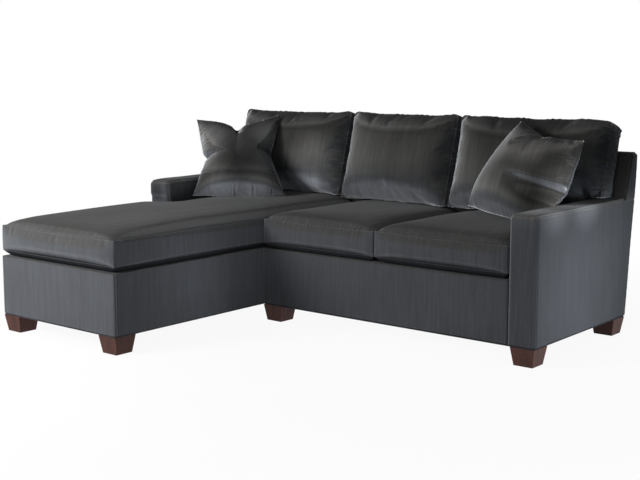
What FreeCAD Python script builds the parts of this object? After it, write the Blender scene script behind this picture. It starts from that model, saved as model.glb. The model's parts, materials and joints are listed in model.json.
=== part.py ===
import FreeCAD, Part
import os
from math import radians, sqrt, tan

from FreeCAD import Placement, Rotation, Vector

os.makedirs("parts", exist_ok=True)

# Sectional sofa, in millimetres. +Z is up, +X the sitter's left and a viewer's right, +Y the back.
# The origin is on the floor, in the middle of the whole footprint.
# A chaise section with the left arm (seen from the front) carries a two-seat section with the right arm.

# Overall sizes
OVERALL_WIDTH = 2210.0
SOFA_DEPTH = 911.0
CHAISE_REACH = 914.0
CHAISE_WIDTH = 768.0
ARM_WIDTH = 125.0
ARM_HEIGHT = 612.0
BACK_HEIGHT = 812.0
BACK_TOP_DEPTH = 54.0
BACK_RAKE = 15.7
REAR_LEAN = 77.0
DECK_HEIGHT = 345.0

# Feet and the bolts that hold them
FOOT_HEIGHT = 76.0
FOOT_TOP = 110.0
FOOT_BOTTOM = 86.0
BOLT_RADIUS = 4.0
BOLT_IN_FOOT = 42.0
BOLT_HEAD_RADIUS = 8.0
BOLT_HEAD_HEIGHT = 5.0
BOLT_PLAY = 0.3

# Padded covers
PAD = 10.0
INSIDE_BACK_PAD = 12.0
OUTSIDE_BACK_PAD = 6.0
DECK_PAD = 14.0
DUST_COVER = 1.5
WELT = 6.0
ARM_EDGE = 8.0
BACK_EDGE = 8.0

# Hardwood frame
RAIL = 28.0
CROSS_RAIL_HEIGHT = 150.0
CROSS_RAIL_SPACING = 480.0
CORNER_BLOCK_LEG = 100.0
CORNER_BLOCK_HEIGHT = 60.0
ARM_BOARD = 20.0
BACK_RAIL_HEIGHT = 45.0
TACK_RAIL_ABOVE_DECK = 60.0

# Sinuous seat springs
WIRE_RADIUS = 2.0
SPRING_SPACING = 150.0
SPRING_HALF_WIDTH = 28.0
SPRING_PITCH = 34.0
SPRING_DROP = 9.0
CLIP_REACH = 8.0
CLIP = (15.0, 10.0, 9.0)
WIRE_PLAY = 0.3

# Connector between the sections
SECTION_GAP = 0.6
CONNECTOR_PLATE = 3.0
CONNECTOR_WIDTH = 50.0
CONNECTOR_REACH = 55.0
PEG_RADIUS = 5.5
PEG_LENGTH = 12.0
PEG_PLAY = 0.8
PEG_FROM_JOINT = 30.0
CONNECTOR_FROM_END = 160.0

# Cushions
SOFT_GAP = 0.4
SIDE_GAP = 1.5
SIDE_PULL = 0.002
SEAT_SPLIT_SHIFT = 10.5
SEAT_LOW_SEAM = 24.0
SEAT_SEAM = 137.0
SEAT_CROWN = 178.0
SEAT_CORNER = 26.0
NOTCH_CORNER = 6.0
SEAT_FRONT_BOW = 0.01
SEAT_FRONT_SIDE = 0
SEAT_BACK_SIDE = 2
CHAISE_CROWN = 190.0
CHAISE_FRONT_BOW = 0.004
COVER_WALL = 4.0
CORE_EASE = 10.0
CORE_CORNER = 20.0
BACK_CUSHION_TOP = 934.0
BACK_CUSHION_RISE = 0.27
BACK_CUSHION_LEFT_INSET = 11.0
BACK_CUSHION_RIGHT_INSET = 49.0
BACK_CUSHION_SHIFTS = (54.0, 49.0)
BACK_CUSHION_SLANT = 55.0
BACK_LOW_SEAM = 26.0
BACK_BOXING = 128.0
BACK_CROWN = 208.0
BACK_CORNER = 20.0
BACK_SIDE_PULL = 0.015
BACK_TOP_PULL = 0.018
BACK_EDGE_SHARE = 0.22

# Throw pillows: corners in their own plane, half thickness, how far the middle is from the sofa's end
# and from its back, and how they are turned about the upright, leaned back and rolled
LEFT_PILLOW = ((-236.0, -240.0), (236.0, -240.0), (219.0, 245.0), (-219.0, 245.0))
LEFT_PILLOW_CROWN = 88.0
LEFT_PILLOW_INSET = (268.0, 544.5)
LEFT_PILLOW_TILT = (41.0, 38.7, -1.1)
RIGHT_PILLOW = ((-223.0, -223.0), (205.0, -184.0), (223.0, 223.0), (-223.0, 223.0))
RIGHT_PILLOW_CROWN = 62.0
RIGHT_PILLOW_INSET = (343.0, 421.5)
RIGHT_PILLOW_TILT = (-18.4, 27.5, 9.0)
PILLOW_CORNER = 12.0
SETTLE_STEPS = 4
PILLOW_PULLS = (0.0, 0.045, 0.085, 0.045)

# Places worked out from the sizes above
Y_BACK = (SOFA_DEPTH + CHAISE_REACH) / 2
Y_SOFA = Y_BACK - SOFA_DEPTH
Y_CHAISE = Y_SOFA - CHAISE_REACH
X_JOINT = CHAISE_WIDTH - OVERALL_WIDTH / 2
Z_RAIL = FOOT_HEIGHT + DUST_COVER
Z_PANEL = FOOT_HEIGHT + WELT
Z_RAIL_TOP = DECK_HEIGHT - DECK_PAD
Z_ARM_PAD = ARM_HEIGHT - PAD
Z_BACK_PAD = BACK_HEIGHT - PAD
SPRING_Z = Z_RAIL_TOP - SPRING_DROP
X_ARM = OVERALL_WIDTH / 2 - ARM_WIDTH
X_SEAT_SPLIT = (X_JOINT + X_ARM) / 2 - SEAT_SPLIT_SHIFT


def inner_y(z):
    """The raked plane that the back cushions lean on."""
    return Y_BACK - BACK_TOP_DEPTH - (BACK_HEIGHT - z) * tan(radians(BACK_RAKE))


def outer_y(z):
    """The outside of the back, which leans less than the inside."""
    return Y_BACK - REAR_LEAN * (BACK_HEIGHT - z) / (BACK_HEIGHT - FOOT_HEIGHT)


Y_RAIL_END = outer_y(FOOT_HEIGHT) - WELT - SOFT_GAP


def save(node, *solids):
    shape = solids[0] if len(solids) == 1 else Part.makeCompound(list(solids))
    shape.exportStep(f"parts/{node}.step")


def block(x, y, z):
    """A box between two limits on each axis."""
    size = [abs(limits[1] - limits[0]) for limits in (x, y, z)]
    return Part.makeBox(*size, Vector(min(x), min(y), min(z)))


def prism(outline, x):
    """An outline of (y, z) corners drawn out between two limits in x."""
    corners = [Vector(min(x), y, z) for y, z in outline]
    face = Part.Face(Part.makePolygon(corners + corners[:1]))
    return face.extrude(Vector(abs(x[1] - x[0]), 0, 0))


def rounded(solid, radius, wanted):
    """The solid with a fillet on each edge whose middle point passes the test."""
    edges = [edge for edge in solid.Edges if wanted(edge.CenterOfMass)]
    return solid.makeFillet(radius, edges)


def near(value, target):
    return abs(value - target) < 0.5


class Section:
    """One of the two halves. u runs from the arm's outer face towards the joint."""

    def __init__(self, name, arm, side, width, y_front):
        self.name = name
        self.arm = arm
        self.side = side
        self.width = width
        self.y_front = y_front
        self.end = width - SECTION_GAP / 2

    def x(self, *us):
        return tuple(self.side * (OVERALL_WIDTH / 2 - u) for u in us)

    def block(self, u, y, z):
        return block(self.x(*u), y, z)

    def prism(self, outline, u):
        return prism(outline, self.x(*u))


CHAISE = Section("chaise", "left_arm", -1, CHAISE_WIDTH, Y_CHAISE)
LOVESEAT = Section("loveseat", "right_arm", 1, OVERALL_WIDTH - CHAISE_WIDTH, Y_SOFA)


# Frame


def foot_centres(section):
    """Middle of each foot, flush with the corners of the base."""
    half = FOOT_TOP / 2
    us = (half, section.end - half)
    ys = (section.y_front + half, outer_y(FOOT_HEIGHT) - half)
    return [(section.x(u)[0], y) for u in us for y in ys]


def upright(radius, x, y, z_low, z_high):
    return Part.makeCylinder(radius, z_high - z_low, Vector(x, y, z_low))


def make_rails(section):
    z = (Z_RAIL, Z_RAIL_TOP)
    y_start = section.y_front + PAD
    side_us = ((PAD, PAD + RAIL), (section.end - PAD - RAIL, section.end - PAD))
    between = (PAD + RAIL, section.end - PAD - RAIL)
    save(f"{section.name}_side_rails", *[section.block(u, (y_start, Y_RAIL_END), z) for u in side_us])
    save(f"{section.name}_front_rail", section.block(between, (y_start, y_start + RAIL), z))
    save(f"{section.name}_back_rail", section.block(between, (Y_RAIL_END - RAIL, Y_RAIL_END), z))


def make_cross_rails(section, along_y):
    """Braces across the seat, evenly spaced on the longer way."""
    z = (Z_RAIL, Z_RAIL + CROSS_RAIL_HEIGHT)
    u_low = PAD + RAIL
    u_high = section.end - PAD - RAIL
    y_low = section.y_front + PAD + RAIL
    y_high = Y_RAIL_END - RAIL
    span = u_high - u_low if along_y else y_high - y_low
    count = max(1, round(span / CROSS_RAIL_SPACING) - 1)
    rails = []
    for i in range(1, count + 1):
        middle = span * i / (count + 1)
        if along_y:
            u = (u_low + middle - RAIL / 2, u_low + middle + RAIL / 2)
            rails.append(section.block(u, (y_low, y_high), z))
        else:
            y = (y_low + middle - RAIL / 2, y_low + middle + RAIL / 2)
            rails.append(section.block((u_low, u_high), y, z))
    save(f"{section.name}_cross_rails", *rails)


def make_corner_blocks(section):
    """A triangular block in each corner of the base, bored for the foot's bolt."""
    z_top = Z_RAIL + CORNER_BLOCK_HEIGHT
    x_ends = [section.x(u)[0] for u in (PAD + RAIL, section.end - PAD - RAIL)]
    y_ends = (section.y_front + PAD + RAIL, Y_RAIL_END - RAIL)
    blocks = []
    for index, (x, y) in enumerate(foot_centres(section)):
        corner_x = x_ends[index // 2]
        corner_y = y_ends[index % 2]
        to_x = CORNER_BLOCK_LEG * (1 if x_ends[1 - index // 2] > corner_x else -1)
        to_y = CORNER_BLOCK_LEG * (1 if index % 2 == 0 else -1)
        corners = [(corner_x, corner_y), (corner_x + to_x, corner_y), (corner_x, corner_y + to_y)]
        points = [Vector(px, py, Z_RAIL) for px, py in corners]
        face = Part.Face(Part.makePolygon(points + points[:1]))
        wood = face.extrude(Vector(0, 0, CORNER_BLOCK_HEIGHT))
        blocks.append(wood.cut(upright(BOLT_RADIUS + BOLT_PLAY, x, y, Z_RAIL, z_top)))
    save(f"{section.name}_corner_blocks", *blocks)


def make_feet(section):
    """Tapered square feet, each bored for its bolt."""
    feet = []
    bolts = []
    z_head = Z_RAIL + CORNER_BLOCK_HEIGHT
    for x, y in foot_centres(section):
        wires = []
        for width, z in ((FOOT_BOTTOM, 0), (FOOT_TOP, FOOT_HEIGHT)):
            half = width / 2
            ends = [(-half, -half), (half, -half), (half, half), (-half, half)]
            points = [Vector(x + dx, y + dy, z) for dx, dy in ends]
            wires.append(Part.makePolygon(points + points[:1]))
        foot = Part.makeLoft(wires, True, True)
        z_low = FOOT_HEIGHT - BOLT_IN_FOOT
        feet.append(foot.cut(upright(BOLT_RADIUS + BOLT_PLAY, x, y, z_low - BOLT_PLAY, FOOT_HEIGHT)))
        head = upright(BOLT_HEAD_RADIUS, x, y, z_head, z_head + BOLT_HEAD_HEIGHT)
        bolts.append(upright(BOLT_RADIUS, x, y, z_low, z_head).fuse(head))
    save(f"{section.name}_feet", *feet)
    save(f"{section.name}_foot_bolts", *bolts)


def make_arm_frame(section):
    """Front and rear boards on the side rail, with a board over both."""
    u = (PAD, ARM_WIDTH - PAD)
    z = (Z_RAIL_TOP, Z_ARM_PAD - ARM_BOARD)
    y_start = Y_SOFA + PAD
    y_end = inner_y(Z_RAIL_TOP) + INSIDE_BACK_PAD
    stumps = [section.block(u, y, z) for y in ((y_start, y_start + RAIL), (y_end - RAIL, y_end))]
    board = section.block(u, (y_start, y_end), (z[1], Z_ARM_PAD))
    save(f"{section.arm}_frame", *stumps, board)


def back_core(section, u, z_low, z_high):
    """A piece of the back frame, filling the space between its two covers."""
    outline = [
        (inner_y(z_low) + INSIDE_BACK_PAD, z_low),
        (inner_y(z_high) + INSIDE_BACK_PAD, z_high),
        (outer_y(z_high) - OUTSIDE_BACK_PAD, z_high),
        (outer_y(z_low) - OUTSIDE_BACK_PAD, z_low),
    ]
    return section.prism(outline, u)


def make_back_frame(section):
    ends = ((PAD, PAD + RAIL), (section.end - PAD - RAIL, section.end - PAD))
    between = (PAD + RAIL, section.end - PAD - RAIL)
    middle = sum(between) / 2
    z_tack = DECK_HEIGHT + TACK_RAIL_ABOVE_DECK
    z_top_rail = Z_BACK_PAD - BACK_RAIL_HEIGHT
    posts = [back_core(section, u, Z_RAIL_TOP, Z_BACK_PAD) for u in ends]
    stud = (middle - RAIL / 2, middle + RAIL / 2)
    posts.append(back_core(section, stud, z_tack + BACK_RAIL_HEIGHT, z_top_rail))
    save(f"{section.name}_back_posts", *posts)
    rails = [back_core(section, between, z, z + BACK_RAIL_HEIGHT) for z in (z_tack, z_top_rail)]
    save(f"{section.name}_back_rails", *rails)


# Springs


def spring_wire(length):
    """A zigzag of round wire along +X, its first and last runs held in the clips."""
    first = CLIP_REACH
    count = round((length - 2 * first) / SPRING_PITCH)
    count += count % 2
    pitch = (length - 2 * first) / count
    turn = pitch / 2
    run = SPRING_HALF_WIDTH - turn
    edges = []
    start = Vector(first, 0, 0)
    for i in range(count):
        way = 1 if i % 2 == 0 else -1
        corner = Vector(first + i * pitch, way * run, 0)
        across = Vector(first + (i + 1) * pitch, way * run, 0)
        tip = Vector(first + (i + 0.5) * pitch, way * SPRING_HALF_WIDTH, 0)
        edges.append(Part.LineSegment(start, corner).toShape())
        edges.append(Part.Arc(corner, tip, across).toShape())
        start = across
    edges.append(Part.LineSegment(start, Vector(start.x, 0, 0)).toShape())
    section_ring = Part.makeCircle(WIRE_RADIUS, Vector(first, 0, 0), Vector(0, 1, 0))
    return Part.Wire(edges).makePipeShell([Part.Wire(section_ring)], True, False)


def spring_clip(x, way, side):
    """A block on the rail's face at x, bored for the spring's end run, on one side of the middle."""
    reach, width, height = CLIP
    y = (0, side * width)
    body = block((x, x + way * reach), y, (-height / 2, height / 2))
    bore = Part.makeCylinder(
        WIRE_RADIUS + WIRE_PLAY, 2 * width, Vector(x + way * CLIP_REACH, -width, 0), Vector(0, 1, 0)
    )
    return body.cut(bore)


def make_springs(section, along_y):
    u_low = PAD + RAIL
    u_high = section.end - PAD - RAIL
    y_low = section.y_front + PAD + RAIL
    y_high = Y_RAIL_END - RAIL
    length = y_high - y_low if along_y else u_high - u_low
    span = u_high - u_low if along_y else inner_y(DECK_HEIGHT) - y_low
    count = round(span / SPRING_SPACING)
    wire = spring_wire(length)
    clips = [spring_clip(0, 1, 1), spring_clip(length, -1, -1)]
    low_x = min(section.x(u_low, u_high))
    springs = []
    holders = []
    for i in range(count):
        offset = span * (i + 0.5) / count
        if along_y:
            place = Placement(Vector(low_x + offset, y_low, SPRING_Z), Rotation(Vector(0, 0, 1), 90))
        else:
            place = Placement(Vector(low_x, y_low + offset, SPRING_Z), Rotation())
        for group, pieces in ((springs, [wire]), (holders, clips)):
            for piece in pieces:
                copy = piece.copy()
                copy.Placement = place
                group.append(copy)
    save(f"{section.name}_springs", *springs)
    save(f"{section.name}_spring_clips", *holders)


# Covers


def make_deck(section):
    """The padded platform under the seat cushions, cut round the back posts."""
    z = (Z_RAIL_TOP, DECK_HEIGHT)
    y_end = Y_RAIL_END
    deck = section.block((ARM_WIDTH, section.end - PAD), (Y_SOFA + PAD, y_end), z)
    if section.y_front < Y_SOFA:
        reach = section.block((PAD, section.end - PAD), (section.y_front + PAD, Y_SOFA + PAD), z)
        deck = deck.fuse(reach).removeSplitter()
    post_y = (inner_y(Z_RAIL_TOP) + INSIDE_BACK_PAD - SOFT_GAP, y_end)
    deck = deck.cut(section.block((section.end - PAD - RAIL - SOFT_GAP, section.end - PAD), post_y, z))
    save(f"{section.name}_deck", deck)


def make_base_panels(section):
    """Padded borders round the base. Behind the arm's front, the arm's own cover takes over."""
    z = (Z_PANEL, DECK_HEIGHT)
    first = section.y_front
    has_reach = first < Y_SOFA
    u_start = 0 if has_reach else ARM_WIDTH
    save(f"{section.name}_front_panel", section.block((u_start, section.end), (first, first + PAD), z))
    u_joint = (section.end - PAD, section.end)
    base_end = [
        (first + PAD, Z_PANEL),
        (first + PAD, DECK_HEIGHT),
        (outer_y(DECK_HEIGHT) - OUTSIDE_BACK_PAD, DECK_HEIGHT),
        (outer_y(Z_PANEL) - OUTSIDE_BACK_PAD, Z_PANEL),
    ]
    back_end = [
        (inner_y(DECK_HEIGHT) + INSIDE_BACK_PAD, DECK_HEIGHT),
        (inner_y(Z_BACK_PAD) + INSIDE_BACK_PAD, Z_BACK_PAD),
        (outer_y(Z_BACK_PAD) - OUTSIDE_BACK_PAD, Z_BACK_PAD),
        (outer_y(DECK_HEIGHT) - OUTSIDE_BACK_PAD, DECK_HEIGHT),
    ]
    panels = [section.prism(base_end, u_joint), section.prism(back_end, u_joint)]
    if has_reach:
        panels.append(section.block((0, PAD), (first + PAD, Y_SOFA + PAD), z))
    save(f"{section.name}_side_panels", *panels)


def make_arm_covers(section):
    """Outside, front, and the inside with the top that wraps over the arm."""
    has_reach = section.y_front < Y_SOFA
    z_front = DECK_HEIGHT if has_reach else Z_PANEL
    x_outer, x_inner = section.x(0, ARM_WIDTH)
    front = section.block((0, ARM_WIDTH), (Y_SOFA, Y_SOFA + PAD), (z_front, ARM_HEIGHT))
    front = rounded(front, ARM_EDGE, lambda p: near(p.y, Y_SOFA) and not near(p.z, z_front))
    save(f"{section.arm}_front", front)
    outside = [
        (Y_SOFA + PAD, Z_PANEL),
        (Y_SOFA + PAD, Z_ARM_PAD),
        (outer_y(Z_ARM_PAD), Z_ARM_PAD),
        (outer_y(Z_PANEL), Z_PANEL),
    ]
    save(f"{section.arm}_outside", section.prism(outside, (0, PAD)))
    top = [
        (Y_SOFA + PAD, Z_ARM_PAD),
        (Y_SOFA + PAD, ARM_HEIGHT),
        (inner_y(ARM_HEIGHT), ARM_HEIGHT),
        (inner_y(Z_ARM_PAD), Z_ARM_PAD),
    ]
    inside = [
        (Y_SOFA + PAD, Z_RAIL_TOP),
        (Y_SOFA + PAD, Z_ARM_PAD),
        (inner_y(Z_ARM_PAD), Z_ARM_PAD),
        (inner_y(Z_RAIL_TOP), Z_RAIL_TOP),
    ]
    wrap = section.prism(top, (0, ARM_WIDTH)).fuse(section.prism(inside, (ARM_WIDTH - PAD, ARM_WIDTH)))
    wrap = wrap.removeSplitter()
    ridge = (x_outer, x_inner)
    wrap = rounded(wrap, ARM_EDGE, lambda p: near(p.z, ARM_HEIGHT) and any(near(p.x, x) for x in ridge))
    save(f"{section.arm}_inside", wrap)


def leaning_plate(section, u, z_low, z_high, face, thickness):
    """A plate between two heights that follows one face of the back, thickness measured in y."""
    outline = [
        (face(z_low), z_low),
        (face(z_high), z_high),
        (face(z_high) + thickness, z_high),
        (face(z_low) + thickness, z_low),
    ]
    return section.prism(outline, u)


def make_back_covers(section):
    main = leaning_plate(
        section, (ARM_WIDTH, section.end), DECK_HEIGHT, Z_BACK_PAD, inner_y, INSIDE_BACK_PAD
    )
    wing = leaning_plate(section, (PAD, ARM_WIDTH), Z_ARM_PAD, Z_BACK_PAD, inner_y, INSIDE_BACK_PAD)
    save(f"{section.name}_inside_back", main.fuse(wing).removeSplitter())
    outside = leaning_plate(
        section, (PAD, section.end), Z_PANEL, Z_BACK_PAD, outer_y, -OUTSIDE_BACK_PAD
    )
    save(f"{section.name}_outside_back", outside)
    strips = []
    for u, z_low, z_high in (((0, section.end), Z_BACK_PAD, BACK_HEIGHT), ((0, PAD), Z_ARM_PAD, Z_BACK_PAD)):
        outline = [
            (inner_y(z_low), z_low),
            (inner_y(z_high), z_high),
            (outer_y(z_high), z_high),
            (outer_y(z_low), z_low),
        ]
        strips.append(section.prism(outline, u))
    band = strips[0].fuse(strips[1]).removeSplitter()
    band = rounded(
        band, BACK_EDGE, lambda p: near(p.z, BACK_HEIGHT) and not near(p.x, section.x(section.end)[0])
    )
    save(f"{section.name}_back_band", band)


def make_dust_cover(section):
    """Thin cloth under the frame, with a hole for each foot's bolt."""
    inset = WELT + SOFT_GAP
    u = (inset, section.end - inset)
    y = (section.y_front + inset, outer_y(FOOT_HEIGHT) - inset)
    cloth = section.block(u, y, (FOOT_HEIGHT, Z_RAIL))
    for x, y_foot in foot_centres(section):
        cloth = cloth.cut(upright(BOLT_RADIUS + BOLT_PLAY, x, y_foot, FOOT_HEIGHT, Z_RAIL))
    save(f"{section.name}_dust_cover", cloth)


def make_welt(section):
    """A cord sewn along the bottom edge of the base, round all four sides."""
    radius = WELT / 2 - SOFT_GAP / 2
    bend = WELT
    z = FOOT_HEIGHT + WELT / 2
    xs = sorted(section.x(WELT / 2, section.end - WELT / 2))
    ys = (section.y_front + WELT / 2, outer_y(FOOT_HEIGHT) - WELT / 2)
    corners = [(xs[0], ys[0]), (xs[1], ys[0]), (xs[1], ys[1]), (xs[0], ys[1])]
    cut = bend * (1 - 1 / sqrt(2))
    edges = []
    for i, (x, y) in enumerate(corners):
        before = corners[i - 1]
        after = corners[(i + 1) % 4]
        corner = Vector(x, y, z)
        back = (Vector(*before, z) - corner).normalize()
        ahead = (Vector(*after, z) - corner).normalize()
        leave = corner + ahead * bend
        edges.append(Part.Arc(corner + back * bend, corner + (back + ahead) * cut, leave).toShape())
        edges.append(Part.LineSegment(leave, Vector(*after, z) - ahead * bend).toShape())
    start = corners[0]
    ring_at = Vector(start[0] + 2 * bend, start[1], z)
    ring = Part.Wire(Part.makeCircle(radius, ring_at, Vector(1, 0, 0)))
    edges = [Part.LineSegment(ring_at, edges[1].lastVertex().Point).toShape()] + edges[2:] + [
        edges[0],
        Part.LineSegment(edges[0].lastVertex().Point, ring_at).toShape(),
    ]
    cord = Part.Wire(edges).makePipeShell([ring], True, False)
    save(f"{section.name}_welt", cord)


# Connector


def make_connectors():
    """Receivers under the chaise, and pegs under the two-seat section that drop into them."""
    x_peg = X_JOINT + PEG_FROM_JOINT
    z_tongue = FOOT_HEIGHT - 2 * CONNECTOR_PLATE - SOFT_GAP
    z_plate = FOOT_HEIGHT - CONNECTOR_PLATE
    receivers = []
    pegs = []
    for y in (Y_SOFA + CONNECTOR_FROM_END, outer_y(FOOT_HEIGHT) - CONNECTOR_FROM_END):
        y_limits = (y - CONNECTOR_WIDTH / 2, y + CONNECTOR_WIDTH / 2)
        x_chaise = (X_JOINT - CONNECTOR_REACH, X_JOINT - SECTION_GAP)
        pad = block(x_chaise, y_limits, (z_tongue, FOOT_HEIGHT))
        x_tongue = (X_JOINT - SECTION_GAP, X_JOINT + CONNECTOR_REACH)
        tongue = block(x_tongue, y_limits, (z_tongue, z_tongue + CONNECTOR_PLATE))
        hole = upright(PEG_RADIUS + PEG_PLAY, x_peg, y, z_tongue, FOOT_HEIGHT)
        receivers.append(pad.fuse(tongue).removeSplitter().cut(hole))
        x_plate = (X_JOINT + SECTION_GAP, X_JOINT + CONNECTOR_REACH)
        plate = block(x_plate, y_limits, (z_plate, FOOT_HEIGHT))
        pegs.append(plate.fuse(upright(PEG_RADIUS, x_peg, y, z_plate - PEG_LENGTH, z_plate)))
    save("chaise_connectors", *receivers)
    save("loveseat_connectors", *pegs)


# Cushions and pillows


def soft_outline(corners, shifts, radius, pulls, place):
    """Closed wire of a soft piece at one level.

    The corners go round anticlockwise, and sides are about square to their neighbours. Side i, from
    corner i to the next, moves inwards by shifts[i] and bows inwards by pulls[i] of its length.
    """
    count = len(corners)
    plane = [Vector(a, b, 0) for a, b in corners]
    along = [(plane[(i + 1) % count] - plane[i]).normalize() for i in range(count)]
    inward = [Vector(-d.y, d.x, 0) for d in along]
    moved = []
    for i in range(count):
        moved.append(plane[i] + inward[i - 1] * shifts[i - 1] + inward[i] * shifts[i])
    turns = [along[i - 1].cross(along[i]).z for i in range(count)]
    radii = [radius if turn > 0 else NOTCH_CORNER for turn in turns]
    edges = []
    for i in range(count):
        following = (i + 1) % count
        enter = moved[i] - along[i - 1] * radii[i]
        middle = moved[i] + (along[i] - along[i - 1]) * (radii[i] * (1 - 1 / sqrt(2)))
        leave = moved[i] + along[i] * radii[i]
        arrive = moved[following] - along[i] * radii[following]
        bow = inward[i] * (pulls[i] * (arrive - leave).Length)
        points = [place(p.x, p.y) for p in (enter, middle, leave, (leave + arrive) / 2 + bow, arrive)]
        edges.append(Part.Arc(points[0], points[1], points[2]).toShape())
        if pulls[i]:
            edges.append(Part.Arc(points[2], points[3], points[4]).toShape())
        else:
            edges.append(Part.LineSegment(points[2], points[4]).toShape())
    return Part.Wire(edges)


def soft_body(stages):
    """A closed form through rings of outline, smooth within a stage and creased where two meet."""
    faces = [Part.Face(stages[0][0]), Part.Face(stages[-1][-1])]
    for wires in stages:
        faces += Part.makeLoft(wires, False, False).Faces
    shell = Part.makeShell(faces)
    shell.sewShape()
    return Part.makeSolid(shell)


def hollow(outer, inner):
    """A closed skin: the outer form with the inner one left empty."""
    cavity = inner.Shells[0].copy()
    cavity.reverse()
    return Part.Solid(Part.makeCompound([outer.Shells[0], cavity]))


# Each stage lists (inward shift, share of the stage's height) from its first seam to its last
UNDERSIDE = ((26.0, 0.0), (17.0, 0.09), (9.0, 0.25), (4.0, 0.5), (1.2, 1.0))
BOXING = ((1.2, 0.0), (0.3, 0.25), (0.0, 0.5), (0.3, 0.75), (1.2, 1.0))
CROWN = ((1.2, 0.0), (11.0, 0.36), (36.0, 0.66), (74.0, 0.87), (116.0, 0.97), (155.0, 1.0))
BACK_REAR = ((30.0, 0.0), (19.0, 0.1), (10.0, 0.28), (4.0, 0.55), (1.2, 1.0))
BACK_FRONT = ((1.2, 0.0), (7.0, 0.24), (22.0, 0.50), (46.0, 0.76), (76.0, 0.93), (108.0, 1.0))
PILLOW_HALF = ((0.0, 0.0), (4.0, 0.16), (16.0, 0.38), (44.0, 0.67), (90.0, 0.91), (145.0, 1.0))


def stage_heights(stage, low, high):
    return [(shift, low + share * (high - low)) for shift, share in stage]


def seat_cushion(corners, crown, front_bow, wall):
    """A boxed, crowned cushion, its back edge pressed flat. wall moves every face inwards."""
    count = len(corners)
    share = [BACK_EDGE_SHARE if i == SEAT_BACK_SIDE else 1.0 for i in range(count)]
    pulls = [-front_bow if i == SEAT_FRONT_SIDE else SIDE_PULL for i in range(count)]
    z_base = DECK_HEIGHT + SOFT_GAP
    profile = (
        stage_heights(UNDERSIDE, z_base + wall, z_base + SEAT_LOW_SEAM),
        stage_heights(BOXING, z_base + SEAT_LOW_SEAM, z_base + SEAT_SEAM - wall),
        stage_heights(CROWN, z_base + SEAT_SEAM - wall, z_base + crown - wall),
    )
    stages = []
    for levels in profile:
        wires = []
        for shift, z in levels:
            shifts = [shift * share[i] + wall for i in range(count)]
            place = lambda x, y, z=z: Vector(x, y, z)
            wires.append(soft_outline(corners, shifts, SEAT_CORNER, pulls, place))
        stages.append(wires)
    return soft_body(stages)


def foam_core(corners):
    """The cut foam block inside a seat cushion's cover."""
    count = len(corners)
    z_low = DECK_HEIGHT + SOFT_GAP + COVER_WALL + SOFT_GAP
    z_high = DECK_HEIGHT + SEAT_SEAM - COVER_WALL
    side = COVER_WALL + CORE_EASE
    levels = (
        (UNDERSIDE[0][0] + side, z_low),
        (side, z_low + 2 * CORE_EASE),
        (side, z_high),
    )
    wires = []
    for shift, z in levels:
        place = lambda x, y, z=z: Vector(x, y, z)
        wires.append(soft_outline(corners, [shift] * count, CORE_CORNER, [SIDE_PULL] * count, place))
    return Part.makeLoft(wires, True, True)


def make_seat_cushions():
    y_rear = inner_y(DECK_HEIGHT) - SIDE_GAP
    shapes = []
    for name, x_low, x_high in (
        ("seat_cushion_middle", X_JOINT, X_SEAT_SPLIT),
        ("seat_cushion_right", X_SEAT_SPLIT, X_ARM),
    ):
        x = (x_low + SIDE_GAP, x_high - SIDE_GAP)
        corners = [(x[0], Y_SOFA), (x[1], Y_SOFA), (x[1], y_rear), (x[0], y_rear)]
        shapes.append((name, corners, SEAT_CROWN, SEAT_FRONT_BOW))
    x_left = -OVERALL_WIDTH / 2
    x_right = X_JOINT - SIDE_GAP
    y_front = Y_CHAISE + CHAISE_FRONT_BOW * CHAISE_WIDTH
    y_step = Y_SOFA - SIDE_GAP
    corners = [
        (x_left, y_front),
        (x_right, y_front),
        (x_right, y_rear),
        (SIDE_GAP - X_ARM, y_rear),
        (SIDE_GAP - X_ARM, y_step),
        (x_left, y_step),
    ]
    shapes.append(("chaise_cushion", corners, CHAISE_CROWN, CHAISE_FRONT_BOW))
    seats = []
    for name, corners, crown, bow in shapes:
        outer = seat_cushion(corners, crown, bow, 0.0)
        cavity = seat_cushion(corners, crown, bow, COVER_WALL)
        save(f"{name}_cover", hollow(outer, cavity))
        save(f"{name}_core", foam_core(corners))
        seats.append(outer)
    return seats


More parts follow.
